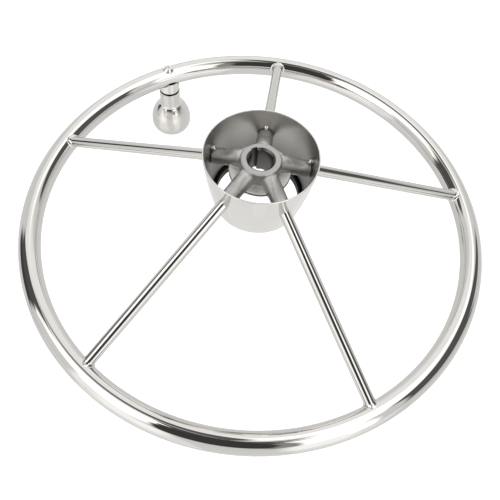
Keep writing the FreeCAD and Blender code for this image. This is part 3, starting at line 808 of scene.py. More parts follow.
@dataclass(frozen=True)
class Finishes:
    """Every finish on the wheel, each made once."""

    rim: bpy.types.Material
    spoke: bpy.types.Material
    weld: bpy.types.Material
    shell_outside: bpy.types.Material
    shell_inside: bpy.types.Material
    shell_lip: bpy.types.Material
    casting: bpy.types.Material
    machined: bpy.types.Material
    bore: bpy.types.Material
    fastener: bpy.types.Material
    screw: bpy.types.Material
    grip: bpy.types.Material
    rubber: bpy.types.Material
    plastic: bpy.types.Material
    bronze: bpy.types.Material
    spring: bpy.types.Material

    @classmethod
    def make(cls) -> "Finishes":
        """Return the set of finishes.

        Returns:
            The finishes.
        """
        return cls(
            rim=Steel("polished_rim_tube", roughness=0.025, roughness_spread=0.02).build(),
            spoke=Steel("polished_spoke_rod", roughness=0.035, roughness_spread=0.02).build(),
            weld=Steel("bright_weld", roughness=0.12, grain_size=0.9, grain_height=0.06).build(),
            shell_outside=Steel("polished_shell_outside", (0.77, 0.75, 0.715), 0.035).build(),
            # The shell's inside carries painted shade: its colour darkens from 6 mm to 34 mm below
            # the bore's mouth, towards the front opening
            shell_inside=Steel("dull_shell_inside_painted_shade", (0.475, 0.46, 0.43), 0.33, 0.06,
                               smudge_size=9.0, grain_size=0.5, grain_height=0.008,
                               shade_spread=0.08, stretch=(1.0, 1.0, 0.15),
                               painted_shade_heights=(-6.0, -34.0), painted_shade_share=0.55).build(),
            shell_lip=Steel("bright_shell_lip", (0.72, 0.71, 0.68), 0.1).build(),
            casting=Steel("blasted_casting", (0.66, 0.647, 0.625), 0.50, 0.12,
                          smudge_size=2.6, grain_size=0.8, grain_height=0.12,
                          shade_spread=0.22).build(),
            machined=Steel("machined_boss_face", (0.46, 0.45, 0.435), 0.42, 0.08,
                           smudge_size=2.0, grain_size=0.35, grain_height=0.03,
                           shade_spread=0.12).build(),
            # The bore's near-black colour is painted shade inside the bore, not the colour of
            # turned steel
            bore=Steel("turned_bore_painted_shade", (0.15, 0.147, 0.143), 0.34, 0.08,
                       smudge_size=2.0, grain_size=0.5, grain_height=0.06,
                       shade_spread=0.2, stretch=(0.02, 0.02, 1.0)).build(),
            fastener=Steel("polished_collar", (0.72, 0.70, 0.67), 0.08).build(),
            screw=Steel("rubbed_screw_head", (0.76, 0.75, 0.73), 0.24, 0.08,
                        smudge_size=4.0, grain_size=0.5, grain_height=0.01).build(),
            grip=Steel("turned_grip", (0.66, 0.64, 0.61), 0.17, 0.04,
                       grain_size=0.3, grain_height=0.03,
                       stretch=(0.03, 0.03, 1.0)).build(),
            rubber=Polymer("black_seat_rubber").build(),
            plastic=Polymer("black_bush_plastic", roughness=0.35, gloss=0.05,
                            grain_height=0.01).build(),
            bronze=Steel("plain_bronze", (0.60, 0.42, 0.20), 0.3).build(),
            spring=Steel("spring_steel", (0.34, 0.34, 0.35), 0.3).build(),
        )


@dataclass
class Piece:
    """Shared ways of putting a finished piece on its body."""

    finishes: Finishes

    def place(self, made: bpy.types.Object, body: Body, slot: str, nodes: tuple[str, ...],
              *materials: bpy.types.Material) -> None:
        """Dress a piece, let it ride on its body and stand for its CAD nodes.

        Args:
            made: The new object.
            body: The body that it moves with.
            slot: The record's material slot; it is not used.
            nodes: The CAD nodes that it replaces.
            materials: Its materials, in the order of its faces' numbers.
        """
        for material in materials:
            made.data.materials.append(material)
        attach(made, body.value)
        if nodes:
            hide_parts(*nodes)
        LOG.info("%s: %d faces", made.name, len(made.data.polygons))


@dataclass
class Rim(Piece):
    """The rim: one polished tube bent to a ring, its weld dressed away."""

    ring_radius: float = 188.0
    tube_radius: float = 9.0
    depth: float = 88.5
    ring_steps: int = 960
    tube_steps: int = 72

    def build(self) -> None:
        """Make the ring: ((R + r cos b) cos a, (R + r cos b) sin a, r sin b - depth)."""
        angle, side = angles(self.ring_steps), angles(self.tube_steps)
        normal = np.stack([np.cos(side), np.sin(side)], 1)
        line = normal * self.tube_radius + [self.ring_radius, -self.depth]
        surface = Surface()
        surface.add_grid(swept(line, angle), swept(normal, angle), ring=True)
        self.place(surface.build("rim_tube"), Body.WHEEL, "rim_steel", ("rim",), self.finishes.rim)


@dataclass
class Spokes(Piece):
    """The five spokes: polished rods, each welded to the rim and run into an arm's socket."""

    rim: Rim
    rod_radius: float = 4.5
    first_angle: float = 16.15
    foot_depth: float = 87.4
    root_depth: float = 7.98
    root_radius: float = 15.5
    inner_radius: float = 27.3
    end_rounding: float = 0.5
    bead_leg: float = 1.6
    bead_side_leg: float = 2.3
    bead_length: float = 2.4
    bead_hollow: float = 0.55
    bead_sink: float = 1.2
    bead_tuck: float = 0.6
    ripple: float = 0.12
    ripple_count: int = 13
    steps_round: int = 72
    reach_steps: int = 24
    reach_pace: float = 0.9

    @property
    def slope(self) -> float:
        """The spokes' fall from the hub to the rim, as an angle in radians."""
        fall = (self.foot_depth - self.root_depth) / (self.rim.ring_radius - self.root_radius)
        return math.atan(fall)

    def turn_of(self, number: int) -> float:
        """Return a spoke's angle about the wheel's axis, in radians."""
        return math.radians(self.first_angle + SPOKE_STEP * number)

    def inner_end(self, number: int) -> tuple[np.ndarray, np.ndarray]:
        """Return the place of a spoke's inner end and the way that it runs from there.

        Args:
            number: The spoke's number, from 0.

        Returns:
            The place, and the unit vector towards the rim.
        """
        turn = self.turn_of(number)
        depth = self.root_depth + (self.inner_radius - self.root_radius) * math.tan(self.slope)
        flat = np.array([math.cos(turn), math.sin(turn), 0.0])
        way = flat * math.cos(self.slope) - UP * math.sin(self.slope)
        return flat * self.inner_radius - UP * depth, way

    def reach_of(self, start: np.ndarray, way: np.ndarray, guess: float = 150.0) -> np.ndarray:
        """Return how far a line runs from each point before it meets the rim tube.

        Each step adds the pace's share of the distance that is left to the tube's wall.

        Args:
            start: The points.
            way: Unit vector along the lines.
            guess: The distance that the steps start from.

        Returns:
            The distances.
        """
        reach = np.full(len(start), guess)
        for _ in range(self.reach_steps):
            spot = start + reach[:, None] * way
            radius = np.hypot(spot[:, 0], spot[:, 1])
            off = np.hypot(radius - self.rim.ring_radius, spot[:, 2] + self.rim.depth)
            reach = reach + (off - self.rim.tube_radius) * self.reach_pace
        return reach

    def weld(self, start: np.ndarray, way: np.ndarray, turn: np.ndarray,
             out: np.ndarray) -> tuple[list[np.ndarray], list[np.ndarray]]:
        """Return the rows of the weld bead and their normals, from the rod into the tube's wall.

        The bead is a curve of three knots from the rod to the tube. Its legs are longer at the
        rod's sides, where the tube falls away, and ripple round the rod. It closes on the axis
        inside the wall.

        Args:
            start: The middle of the rod's inner end.
            way: The way that the rod runs.
            turn: Angles round the rod.
            out: Unit vectors across the rod at those angles.

        Returns:
            The rows of points, and those of normals.
        """
        leg = self.bead_leg + (self.bead_side_leg - self.bead_leg) * np.cos(turn) ** 2
        leg = leg + self.ripple * np.cos(turn * self.ripple_count)
        at_rod = start + out * self.rod_radius
        foot = start + out * (self.rod_radius + leg)[:, None]
        meet_rod, meet_foot = self.reach_of(at_rod, way), self.reach_of(foot, way)
        top = at_rod + (meet_rod - self.bead_length - self.ripple
                        * np.cos(turn * self.ripple_count))[:, None] * way
        foot = foot + meet_foot[:, None] * way
        corner = at_rod + meet_rod[:, None] * way
        knee = corner * self.bead_hollow + (top + foot) / 2 * (1 - self.bead_hollow)
        rows, normals = [top], [out]
        for share in np.linspace(0, 1, 11)[1:]:
            rest = 1 - share
            rows.append(rest ** 2 * top + 2 * rest * share * knee + share ** 2 * foot)
            tangent = rest * (knee - top) + share * (foot - knee)
            around = np.roll(rows[-1], -1, 0) - np.roll(rows[-1], 1, 0)
            normal = np.cross(around, tangent)
            normals.append(normal / np.linalg.norm(normal, axis=1, keepdims=True))
        centre = start + way * float(meet_rod.mean() + self.bead_sink)
        rows += [foot + way * self.bead_sink - out * self.bead_tuck,
                 np.broadcast_to(centre, out.shape)]
        normals += [out, np.broadcast_to(way, out.shape)]
        return rows, normals

    def rod(self, name: str, number: int) -> bpy.types.Object:
        """Make one spoke as rings round its axis, from the socket's floor into the rim's wall.

        Ring points are axis point plus r (cos b, sin b) in the plane across the axis. The spoke is
        worked out along +X and then turned to its place.

        Args:
            name: Name of the piece.
            number: The spoke's number, from 0.

        Returns:
            The new object.
        """
        slope = self.slope
        way = np.array([math.cos(slope), 0.0, -math.sin(slope)])
        across = np.array([0.0, 1.0, 0.0])
        rise = np.cross(way, across)
        root = np.array([self.root_radius, 0.0, -self.root_depth])
        start = root + way * (self.inner_radius - self.root_radius) / math.cos(slope)
        turn = angles(self.steps_round)
        out = np.cos(turn)[:, None] * across + np.sin(turn)[:, None] * rise
        bead, bead_normals = self.weld(start, way, turn, out)
        rows = [np.broadcast_to(start, out.shape)]
        normals = [np.broadcast_to(-way, out.shape)]
        edge = self.end_rounding
        for share in np.linspace(0, 1, 4):
            lean = share * math.pi / 2
            rows.append(start + out * (self.rod_radius - edge + edge * math.sin(lean))
                        + way * edge * (1 - math.cos(lean)))
            normals.append(out * math.sin(lean) - way * math.cos(lean))
        at_rod = start + out * self.rod_radius
        for share in np.linspace(0.02, 1, 24):
            rows.append(at_rod + (bead[0] - at_rod) * share)
            normals.append(out)
        finish = [SpokeFace.ROD] * len(rows) + [SpokeFace.WELD] * (len(bead) - 1)
        rows += bead[1:]
        normals += bead_normals[1:]
        yaw = self.turn_of(number)
        spin = np.array([[math.cos(yaw), math.sin(yaw), 0], [-math.sin(yaw), math.cos(yaw), 0],
                         [0, 0, 1]])
        surface = Surface()
        surface.add_grid(np.stack(rows) @ spin, np.stack(normals) @ spin, np.array(finish),
                         (True, True))
        return surface.build(name)

    def build(self) -> None:
        """Make the five spokes."""
        for number in range(SPOKE_COUNT):
            node = f"spoke_{number + 1}"
            self.place(self.rod(f"{node}_rod", number), Body.WHEEL, "spoke_steel", (node,),
                       self.finishes.spoke, self.finishes.weld)


@dataclass
class HubShell(Piece):
    """The hub's thin spun cone, polished outside and dull inside, with its cap seat ring."""

    back_radius: float = 44.2
    front_radius: float = 35.0
    back_lip: float = 5.35
    depth: float = 48.5
    bulge: float = 0.9
    wall: float = 1.2
    lip_rounding: float = 0.55
    lip_crown: float = 0.5
    lip_flat: float = 0.55
    seat_height: float = 7.0
    seat_width: float = 2.2
    seat_setback: float = 0.6
    steps_round: int = 256
    seat_steps: int = 160

    def inner_radius(self, height: np.ndarray) -> np.ndarray:
        """Return the radius of the bowed inside wall at some heights.

        Args:
            height: The heights.

        Returns:
            The radii.
        """
        share = (height + self.depth) / (self.back_lip + self.depth)
        chord = self.front_radius + (self.back_radius - self.front_radius) * share
        return chord + 4 * self.bulge * share * (1 - share) - self.wall

    def section(self) -> Section:
        """Return the wall's outline: up the outside, over the lip and down the inside.

        Returns:
            The section.
        """
        back, front = self.back_radius, self.front_radius
        edge = self.lip_rounding
        return Section((
            Corner(front, -self.depth, edge, self.bulge, ShellFace.OUTSIDE),
            Corner(back, self.back_lip, self.lip_crown, 0.0, ShellFace.LIP),
            Corner(back - self.wall * self.lip_flat, self.back_lip, 0.05, 0.0, ShellFace.INSIDE),
            Corner(back - self.wall, self.back_lip, edge, -self.bulge, ShellFace.INSIDE),
            Corner(front - self.wall, -self.depth, edge, 0.0, ShellFace.LIP),
        ), closed=True, arc_steps=5)

    def seat(self) -> Section:
        """Return the seat ring's outline: a soft band against the wall inside the front.

        Returns:
            The section.
        """
        slope = (self.back_radius - self.front_radius) / (self.back_lip + self.depth)
        wall = self.front_radius - self.wall
        foot = wall + slope * self.seat_setback
        head = wall + slope * (self.seat_setback + self.seat_height)
        low = self.seat_setback - self.depth
        high = low + self.seat_height
        return Section((
            Corner(foot, low, 0.2),
            Corner(head, high, 0.2),
            Corner(head - self.seat_width, high, 0.6),
            Corner(foot - self.seat_width / 2, low, 0.6),
        ), closed=True)

    def build(self) -> None:
        """Make the shell and its seat ring."""
        finishes = self.finishes
        self.place(turned("hub_shell_cone", self.section(), self.steps_round), Body.WHEEL,
                   "shell_steel", ("hub_shell",), finishes.shell_outside, finishes.shell_inside,
                   finishes.shell_lip)
        self.place(turned("cap_seat_band", self.seat(), self.seat_steps), Body.WHEEL,
                   "seat_rubber", ("cap_seat_ring",), finishes.rubber)


@dataclass
class Spider(Piece):
    """The hub's casting: boss with taper bore and keyway, web disc and five socketed arms.

    Its cast skin is the zero level of a field: the boss, the disc and the arms joined with
    fillets, and the arms' tops and scoops taken away. Bore, keyway and sockets are then cut out.
    """

    spokes: Spokes
    shell: HubShell
    boss_radius: float = 15.5
    boss_length: float = 23.0
    boss_rounding: float = 0.8
    web_radius: float = 24.0
    web_depth: float = 12.2
    web_thickness: float = 2.5
    web_rounding: float = 0.6
    arm_root_radius: float = 6.8
    arm_end_radius: float = 6.3
    arm_end: float = 39.1
    arm_top: float = 1.5
    arm_gap: float = 0.6
    arm_end_rounding: float = 0.8
    scoop_radius: float = 19.0
    scoop_depth: float = 1.2
    scoop_distance: float = 29.0
    fillet: float = 1.5
    soft_edge: float = 1.4
    bore_radius: float = 9.525
    bore_taper: float = 1 / 24
    mouth_chamfer: float = 1.6
    keyway_width: float = 4.76
    keyway_depth: float = 2.4
    keyway_angle: float = 123.0
    socket_radius: float = 4.55
    socket_tool: float = 20.0
    tool_overshoot: float = 1.0
    bead_radius: float = 2.3
    bead_lumps: float = 0.06
    bead_setting: tuple[float, float] = (39.83, -10.21)
    cell: float = 0.5
    sharp_angle: float = 32.0
    face_band: float = 0.3
    face_upright: float = 0.8
    hole_band: float = 0.1

    def arm_field(self, radius: np.ndarray, angle: np.ndarray, height: np.ndarray) -> np.ndarray:
        """Return the field of the arms: round cones along the spokes, with flat tops and scoops.

        Args:
            radius: Distances of some points from the wheel's axis.
            angle: Their angles from the nearest arm.
            height: Their heights.

        Returns:
            The field's values there.
        """
        spokes = self.spokes
        fall, flat = math.sin(spokes.slope), math.cos(spokes.slope)
        out = radius * np.cos(angle) - spokes.root_radius
        up = height + spokes.root_depth
        along, rise = out * flat - up * fall, out * fall + up * flat
        reach = (self.arm_end - spokes.root_radius) / flat
        thickness = self.arm_root_radius + (self.arm_end_radius - self.arm_root_radius) * np.clip(
            along / reach, 0, 1)
        arm = np.hypot(rise, radius * np.sin(angle)) - thickness
        arm = smooth_max(arm, height + self.arm_top, self.soft_edge)
        middle = (self.scoop_distance - spokes.root_radius) / flat
        crown = self.arm_end_radius - self.scoop_depth + self.scoop_radius
        scoop = self.scoop_radius - np.hypot(along - middle, rise - crown)
        return smooth_max(arm, scoop, self.soft_edge)

    def field_of(self, points: np.ndarray) -> np.ndarray:
        """Return the field at some points: about how far outside the casting's skin they are.

        Args:
            points: An array of points, its last axis x, y and z.

        Returns:
            The field's values there.
        """
        radius, height = np.hypot(points[..., 0], points[..., 1]), points[..., 2]
        share = TURN / SPOKE_COUNT
        angle = np.arctan2(points[..., 1], points[..., 0]) - self.spokes.turn_of(0)
        angle = (angle + share / 2) % share - share / 2
        boss = round_box(radius, height + self.boss_length / 2, self.boss_radius,
                         self.boss_length / 2, self.boss_rounding)
        web = round_box(radius, height + self.web_depth + self.web_thickness / 2, self.web_radius,
                        self.web_thickness / 2, self.web_rounding)
        arm = self.arm_field(radius, angle, height)
        skin = smooth_min(smooth_min(boss, web, self.fillet), arm, self.fillet)
        wall = self.shell.inner_radius(height) - self.arm_gap
        return smooth_max(skin, radius - wall, self.arm_end_rounding)

    def bore(self) -> bpy.types.Object:
        """Make the tool that cuts the taper bore and the chamfer at its mouth.

        Returns:
            The tool.
        """
        mouth = self.bore_radius - self.bore_taper * self.mouth_chamfer
        low, high = -self.boss_length - self.tool_overshoot, self.tool_overshoot
        return turned("bore_tool", Section((
            Corner(0, low, 0),
            Corner(self.bore_radius + self.bore_taper * low, low, 0.1),
            Corner(mouth, -self.mouth_chamfer, 0.12),
            Corner(self.bore_radius + self.mouth_chamfer, 0, 0.12),
            Corner(self.bore_radius + self.mouth_chamfer, high, 0.1),
            Corner(0, high, 0),
        ), arc_steps=4), 192)

    def keyway(self) -> bpy.types.Object:
        """Make the tool that cuts the keyway, whose floor follows the bore's taper.

        Returns:
            The tool.
        """
        turn = math.radians(self.keyway_angle)
        out = np.array([math.cos(turn), math.sin(turn), 0])
        side = np.array([-math.sin(turn), math.cos(turn), 0]) * self.keyway_width / 2
        corners = []
        for height in (-self.boss_length - self.tool_overshoot, self.tool_overshoot):
            floor = self.bore_radius + self.keyway_depth + self.bore_taper * height
            ends = (-side, out * floor - side, out * floor + side, side)
            corners += [(end + [0, 0, height]) * MM for end in ends]
        mesh = bpy.data.meshes.new("keyway_tool")
        mesh.from_pydata([corner.tolist() for corner in corners], [],
                         [(3, 2, 1, 0), (4, 5, 6, 7), (0, 1, 5, 4), (1, 2, 6, 5), (2, 3, 7, 6),
                          (3, 0, 4, 7)])
        return linked("keyway_tool", mesh)

    def sockets(self) -> bpy.types.Object:
        """Make the tool that cuts the five sockets for the spokes.

        Returns:
            The tool.
        """
        surface = Surface()
        for number in range(SPOKE_COUNT):
            start, way = self.spokes.inner_end(number)
            rod_between(surface, start, way, self.socket_radius, self.socket_tool)
        return surface.build("socket_tool")

    def casting(self) -> bpy.types.Object:
        """Return the casting with bore, keyway and sockets cut, and its faces' materials set.

        Returns:
            The new object.
        """
        reach = self.shell.back_radius
        lattice = Lattice((-reach, -reach, -self.boss_length - 6), (reach, reach, 1), self.cell)
        points, faces = lattice.mesh(self.field_of)
        mesh = bpy.data.meshes.new("casting_skin")
        mesh.from_pydata((points * MM).tolist(), [], faces.tolist())
        skin = linked("casting_skin", mesh)
        tools = [self.bore(), self.keyway(), self.sockets()]
        for tool in tools:
            cut = skin.modifiers.new(tool.name, "BOOLEAN")
            cut.operation = "DIFFERENCE"
            cut.solver = "EXACT"
            cut.object = tool
        view = bpy.context.evaluated_depsgraph_get()
        made = linked("hub_casting", bpy.data.meshes.new_from_object(skin.evaluated_get(view)))
        for spare in (skin, *tools):
            bpy.data.objects.remove(spare)
        self.shade(made.data)
        return made

    def shade(self, mesh: bpy.types.Mesh) -> None:
        """Mark the sharp edges, and tell the turned faces from the cast skin by their place.

        Args:
            mesh: The casting's mesh.
        """
        total = len(mesh.polygons)
        middle, normal = np.zeros(total * 3), np.zeros(total * 3)
        mesh.polygons.foreach_get("center", middle)
        mesh.polygons.foreach_get("normal", normal)
        middle, normal = middle.reshape(-1, 3) / MM, normal.reshape(-1, 3)
        radius = np.hypot(middle[:, 0], middle[:, 1])
        inward = (normal * middle)[:, :2].sum(axis=1) < 0
        keyed = self.bore_radius + self.keyway_depth + self.hole_band
        top = (middle[:, 2] > -self.face_band) & (normal[:, 2] > self.face_upright)
        finish = np.where(top, CastFace.MACHINED, CastFace.SKIN)
        # These hole faces take the bore finish, whose dark colour is painted shade
        hole = (radius < keyed) & (inward | (radius < self.bore_radius))
        finish = np.where(hole, CastFace.BORE, finish)
        mesh.polygons.foreach_set("material_index", finish.astype(np.int32))
        mesh.polygons.foreach_set("use_smooth", np.ones(total, dtype=bool))
        mesh.set_sharp_from_angle(angle=math.radians(self.sharp_angle))

    def beads(self) -> bpy.types.Object:
        """Make the five tack beads, lumpy balls half sunk between the arms' ends and the shell.

        Each stands at (R cos a, R sin a, h) with radius r (1 + k sin 3u cos 2v), k for the lumps.

        Returns:
            The new object.
        """
        surface = Surface()
        share = np.linspace(0, math.pi, 15)[:, None]
        turn = angles(24)[None, :]
        ball = np.stack([np.sin(share) * np.cos(turn), np.sin(share) * np.sin(turn),
                         -np.cos(share) + 0 * turn], -1)
        lump = 1 + self.bead_lumps * np.sin(3 * share)[..., None] * np.cos(2 * turn)[..., None]
        radius, height = self.bead_setting
        for number in range(SPOKE_COUNT):
            angle = self.spokes.turn_of(number)
            middle = np.array([radius * math.cos(angle), radius * math.sin(angle), height])
            surface.add_grid(ball * lump * self.bead_radius + middle, ball, poles=(True, True))
        return surface.build("tack_beads")

    def build(self) -> None:
        """Make the casting and the beads that tack the shell to it."""
        finishes = self.finishes
        self.place(self.casting(), Body.WHEEL, "cast_steel", ("hub_spider",), finishes.casting,
                   finishes.machined, finishes.bore)
        self.place(self.beads(), Body.WHEEL, "weld_steel", ("shell_tack_welds",), finishes.weld)


@dataclass
class Knob(Piece):
    """The turning knob: pear-shaped grip, bearing ring, collar, pad and screw under the rim.

    Its pieces are worked out about its own axis, with height 0 at the tube's centre line.
    """

    rim: Rim
    angle: float = 122.1
    collar_radius: float = 10.0
    collar_height: float = 6.6
    pad: float = 0.5
    pad_bore: float = 3.3
    pad_overhang: float = 0.05
    pad_least: float = 0.02
    saddle_depth: float = 6.5
    collar_edge: float = 0.3
    seat_edge: float = 0.15
    spindle_radius: float = 4.5
    spindle_length: float = 58.3
    running_gap: float = 0.05
    bush_flange: float = 2.4
    bush_length: float = 12.0
    face_gap: float = 0.1
    neck_radius: float = 10.0
    neck_length: float = 15.7
    flare_radius: float = 11.9
    flare_length: float = 19.7
    flare_hollow: float = 0.7
    shoulder_bulge: float = 2.6
    bulb_radius: float = 19.9
    bulb_length: float = 43.4
    foot_bulge: float = 1.7
    foot_radius: float = 12.7
    grip_length: float = 53.6
    cavity_radius: float = 9.0
    cavity_depth: float = 20.0
    plug_thickness: float = 3.0
    plug_gap: float = 0.02
    bush_radius: float = 6.0
    head_radius: float = 5.2
    head_height: float = 2.1
    head_stand: float = 0.1
    head_skirt: float = 0.3
    head_sink: float = 2.5
    head_edge: float = 0.12
    head_flank: float = 0.15
    dome_share: float = 0.95
    key_width: float = 4.0
    key_depth: float = 1.6
    key_edge: float = 0.1
    columns: int = 144
    grip_columns: int = 192
    plug_columns: int = 96
    head_columns: int = 72

    @property
    def middle(self) -> Triple:
        """Where the knob's axis meets the rim tube's centre line."""
        turn = math.radians(self.angle)
        radius = self.rim.ring_radius
        return (radius * math.cos(turn), radius * math.sin(turn), -self.rim.depth)

    @property
    def ceiling(self) -> float:
        """Height of the horns of the collar's saddle, below the tube's centre."""
        return self.saddle_depth - self.pad - self.rim.tube_radius

    @property
    def grip_top(self) -> float:
        """Height of the grip's neck below the tube's centre."""
        return -(self.rim.tube_radius + self.collar_height + self.face_gap + self.bush_flange)

    def tube_drop(self, points: np.ndarray, radius: float) -> np.ndarray:
        """Return how far below its centre line the tube's underside is, over points across it.

        It is sqrt(radius squared - d squared), d being the distance from the ring's centre line.

        Args:
            points: Points about the knob's axis.
            radius: The tube's radius, with what lies on it.

        Returns:
            The drops.
        """
        turn = math.radians(self.angle)
        spot = points[..., :2] + self.rim.ring_radius * np.array([math.cos(turn), math.sin(turn)])
        off = np.hypot(spot[..., 0], spot[..., 1]) - self.rim.ring_radius
        return np.sqrt(np.maximum(radius ** 2 - off ** 2, 0))

    def under_tube(self, points: np.ndarray, radius: float) -> np.ndarray:
        """Return the height of the tube's underside or of the horns' ends, the lower one."""
        return np.minimum(-self.tube_drop(points, radius), self.ceiling)

    def close(self, name: str, rows: list[np.ndarray], normals: list[np.ndarray],
              **edges: object) -> bpy.types.Object:
        """Return rows of points about the knob's axis as a piece in its place.

        Args:
            name: Name of the piece.
            rows: Its rows of points.
            normals: Their normals.
            edges: What add_grid is told of its ends.

        Returns:
            The new object.
        """
        surface = Surface()
        surface.add_grid(np.stack(rows) + np.array(self.middle), np.stack(normals), **edges)
        return surface.build(name)

    def spindle(self) -> bpy.types.Object:
        """Make the spindle: its shaft, and the collar whose top is cut to the tube's underside.

        Rows run from the middle of the shaft's foot out and up to the collar, out and up its wall
        to the seat, and back to the middle.

        Returns:
            The new object.
        """
        out = circle(self.columns)
        foot = -(self.rim.tube_radius + self.collar_height)
        seat = self.rim.tube_radius + self.pad
        edge, wall = self.collar_edge, out * self.collar_radius
        shaft = ((0.0, -self.spindle_length), (self.spindle_radius, -self.spindle_length),
                 (self.spindle_radius, foot))
        rows = [out * radius + UP * height for radius, height in shaft]
        normals = [-UP + 0 * out, out - UP, out + 0 * UP]
        for lean in np.linspace(0, math.pi / 2, 5):
            rows.append(out * (self.collar_radius - edge + edge * math.sin(lean))
                        + UP * (foot + edge * (1 - math.cos(lean))))
            normals.append(out * math.sin(lean) - UP * math.cos(lean))
        top, low = self.under_tube(wall, seat), foot + edge
        for share in np.linspace(0, 1, 7)[1:]:
            rows.append(wall + UP * (low + (top - self.seat_edge - low) * share)[:, None])
            normals.append(out)
        for reach in np.linspace(self.collar_radius - self.seat_edge, 0, 12):
            rows.append(out * reach + UP * self.under_tube(out * reach, seat)[:, None])
            normals.append(np.broadcast_to(UP, out.shape))
        return self.close("knob_collar_and_shaft", rows, normals, poles=(True, True))

    def pad_ring(self) -> bpy.types.Object:
        """Make the pad: a thin layer that follows the tube's underside between two radii.

        Its section runs in along the tube and out again a pad's thickness below it. Beside the
        tube it thins out at the height where the collar's horns end.

        Returns:
            The new object.
        """
        out, tube = circle(self.columns), self.rim.tube_radius
        reaches = np.linspace(self.collar_radius + self.pad_overhang, self.pad_bore, 9)
        crest = 2 * self.pad_bore
        rows, normals = [], []
        for way, spots in ((1.0, reaches), (-1.0, reaches[::-1])):
            for reach in spots:
                spot = out * reach
                low = self.under_tube(spot, tube + self.pad)
                high = np.maximum(self.under_tube(spot, tube), low + self.pad_least)
                rows.append(spot + UP * (low if way < 0 else high)[:, None])
                normals.append(UP * way + out * (reach - crest) / crest)
        return self.close("knob_saddle_layer", rows, normals, ring=True)

    def screw_head(self) -> bpy.types.Object:
        """Make the screw's low domed head, seated on the tube, with a six-sided key socket.

        The dome stands head_height * (1 - (r / R) squared) above the tube's top, and the socket's
        outline is the hexagon half_width / cos(b), b being the angle from the nearest flat.

        Returns:
            The new object.
        """
        turn, out = angles(self.head_columns), circle(self.head_columns)
        tube, edge = self.rim.tube_radius, self.head_edge
        seat = self.tube_drop(out * self.head_radius, tube)
        shoulder = tube + self.head_stand
        flat = (turn + math.pi / 6) % (math.pi / 3) - math.pi / 6
        hexagon = self.key_width / 2 / np.cos(flat)
        rows = [np.broadcast_to(UP * (tube - self.head_sink), out.shape),
                out * self.head_radius + UP * (seat - self.head_skirt)[:, None],
                out * self.head_radius + UP * (shoulder - self.head_flank)]
        normals = [np.broadcast_to(-UP, out.shape), out, out]
        for share in np.linspace(0, 1, 12):
            reach = (self.head_radius - edge) * (1 - share) + (hexagon + edge) * share
            rise = self.head_height * (1 - (reach / self.head_radius) ** 2) * self.dome_share
            rows.append(out * reach[:, None] + UP * (shoulder + rise)[:, None])
            lean = 2 * self.head_height * reach / self.head_radius ** 2
            normals.append(out * lean[:, None] + UP)
        floor = tube + self.head_height - self.key_depth
        brink = rows[-1][:, 2] - edge
        rows += [out * hexagon[:, None] + UP * brink[:, None],
                 out * hexagon[:, None] + UP * (floor + self.key_edge),
                 out * (hexagon - self.key_edge)[:, None] + UP * floor,
                 np.broadcast_to(UP * floor, out.shape)]
        normals += [UP - out, -out, UP - out * 0.5, np.broadcast_to(UP, out.shape)]
        return self.close("knob_screw_head", rows, normals, poles=(True, True))

    def grip_section(self) -> Section:
        """Return the grip's outline: up the outside from its foot, and down its bore.

        Returns:
            The section.
        """
        top = self.grip_top
        foot = top - self.grip_length
        return Section((
            Corner(self.cavity_radius, foot, 0.3),
            Corner(self.foot_radius, foot, 1.2, self.foot_bulge),
            Corner(self.bulb_radius, top - self.bulb_length, 2.0, self.shoulder_bulge),
            Corner(self.flare_radius, top - self.flare_length, 0.25, -self.flare_hollow,
                   GripFace.POLISHED),
            Corner(self.neck_radius, top - self.neck_length, 0.3),
            Corner(self.neck_radius, top, 0.35),
            Corner(self.bush_radius, top, 0.2),
            Corner(self.bush_radius, foot + self.cavity_depth, 0.2),
            Corner(self.cavity_radius, foot + self.cavity_depth, 0.3),
        ), closed=True, arc_steps=10)

    def flange_section(self) -> Section:
        """Return the outline of the bearing ring above the grip.

        Returns:
            The section.
        """
        top = self.grip_top + self.bush_flange
        foot = self.grip_top - self.bush_length
        bore = self.spindle_radius + self.running_gap
        return Section((
            Corner(bore, foot, 0.1),
            Corner(self.bush_radius, foot, 0.2),
            Corner(self.bush_radius, self.grip_top, 0.1),
            Corner(self.collar_radius, self.grip_top, 0.25),
            Corner(self.collar_radius, top, 0.25),
            Corner(bore, top, 0.2),
        ), closed=True)

    def plug_section(self) -> Section:
        """Return the outline of the plug in the grip's foot.

        Returns:
            The section.
        """
        foot = self.grip_top - self.grip_length
        low, high = foot + self.running_gap, foot + self.plug_thickness
        radius = self.cavity_radius - self.plug_gap
        return Section((
            Corner(0, low, 0),
            Corner(radius, low, 0.4),
            Corner(radius, high, 0.3),
            Corner(0, high, 0),
        ))

    def build(self) -> None:
        """Make the fixed pieces on the wheel and the turning pieces on the knob."""
        finishes, middle = self.finishes, self.middle
        self.place(self.screw_head(), Body.WHEEL, "screw_steel", ("knob_screw",),
                   finishes.screw)
        self.place(self.pad_ring(), Body.WHEEL, "pad_rubber", ("knob_saddle_pad",),
                   finishes.rubber)
        self.place(self.spindle(), Body.WHEEL, "spindle_steel", ("knob_spindle",),
                   finishes.fastener)
        self.place(turned("knob_pear_grip", self.grip_section(), self.grip_columns, middle),
                   Body.KNOB, "grip_steel", ("knob_grip",), finishes.grip, finishes.fastener)
        self.place(turned("knob_bearing_ring", self.flange_section(), self.columns, middle),
                   Body.KNOB, "bush_plastic", ("knob_upper_bush",), finishes.plastic)
        self.place(turned("knob_foot_plug", self.plug_section(), self.plug_columns, middle),
                   Body.KNOB, "plug_plastic", ("knob_end_plug",), finishes.plastic)


def dress_nodes(frame: dict, finishes: Finishes) -> None:
    """Give the CAD nodes that stay in the scene the finishes of their own.

    Args:
        finishes: The wheel's finishes.
    """
    shown = {
        "knob_thrust_washer": finishes.bronze,
        "knob_retaining_clip": finishes.spring,
        "knob_lower_bush": finishes.plastic,
    }
    for name, material in shown.items():
        mesh = frame["nodes"][name].data
        mesh.materials.clear()
        mesh.materials.append(material)


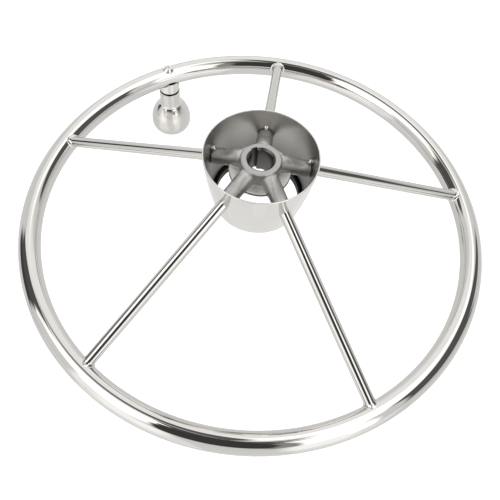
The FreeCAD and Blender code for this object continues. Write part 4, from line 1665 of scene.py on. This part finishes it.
def main() -> None:
    """Build the studio and the wheel."""
    logging.basicConfig(level=logging.INFO)
    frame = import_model()
    bpy.context.scene.view_settings.view_transform = "Standard"
    Studio().build()
    Floor().build()
    Eye().build()
    finishes = Finishes.make()
    rim = Rim(finishes)
    spokes, shell = Spokes(finishes, rim), HubShell(finishes)
    for part in (rim, spokes, shell, Spider(finishes, spokes, shell), Knob(finishes, rim)):
        LOG.info("building %s", type(part).__name__)
        part.build()
    dress_nodes(frame, finishes)


if __name__ == "__main__":
    main()
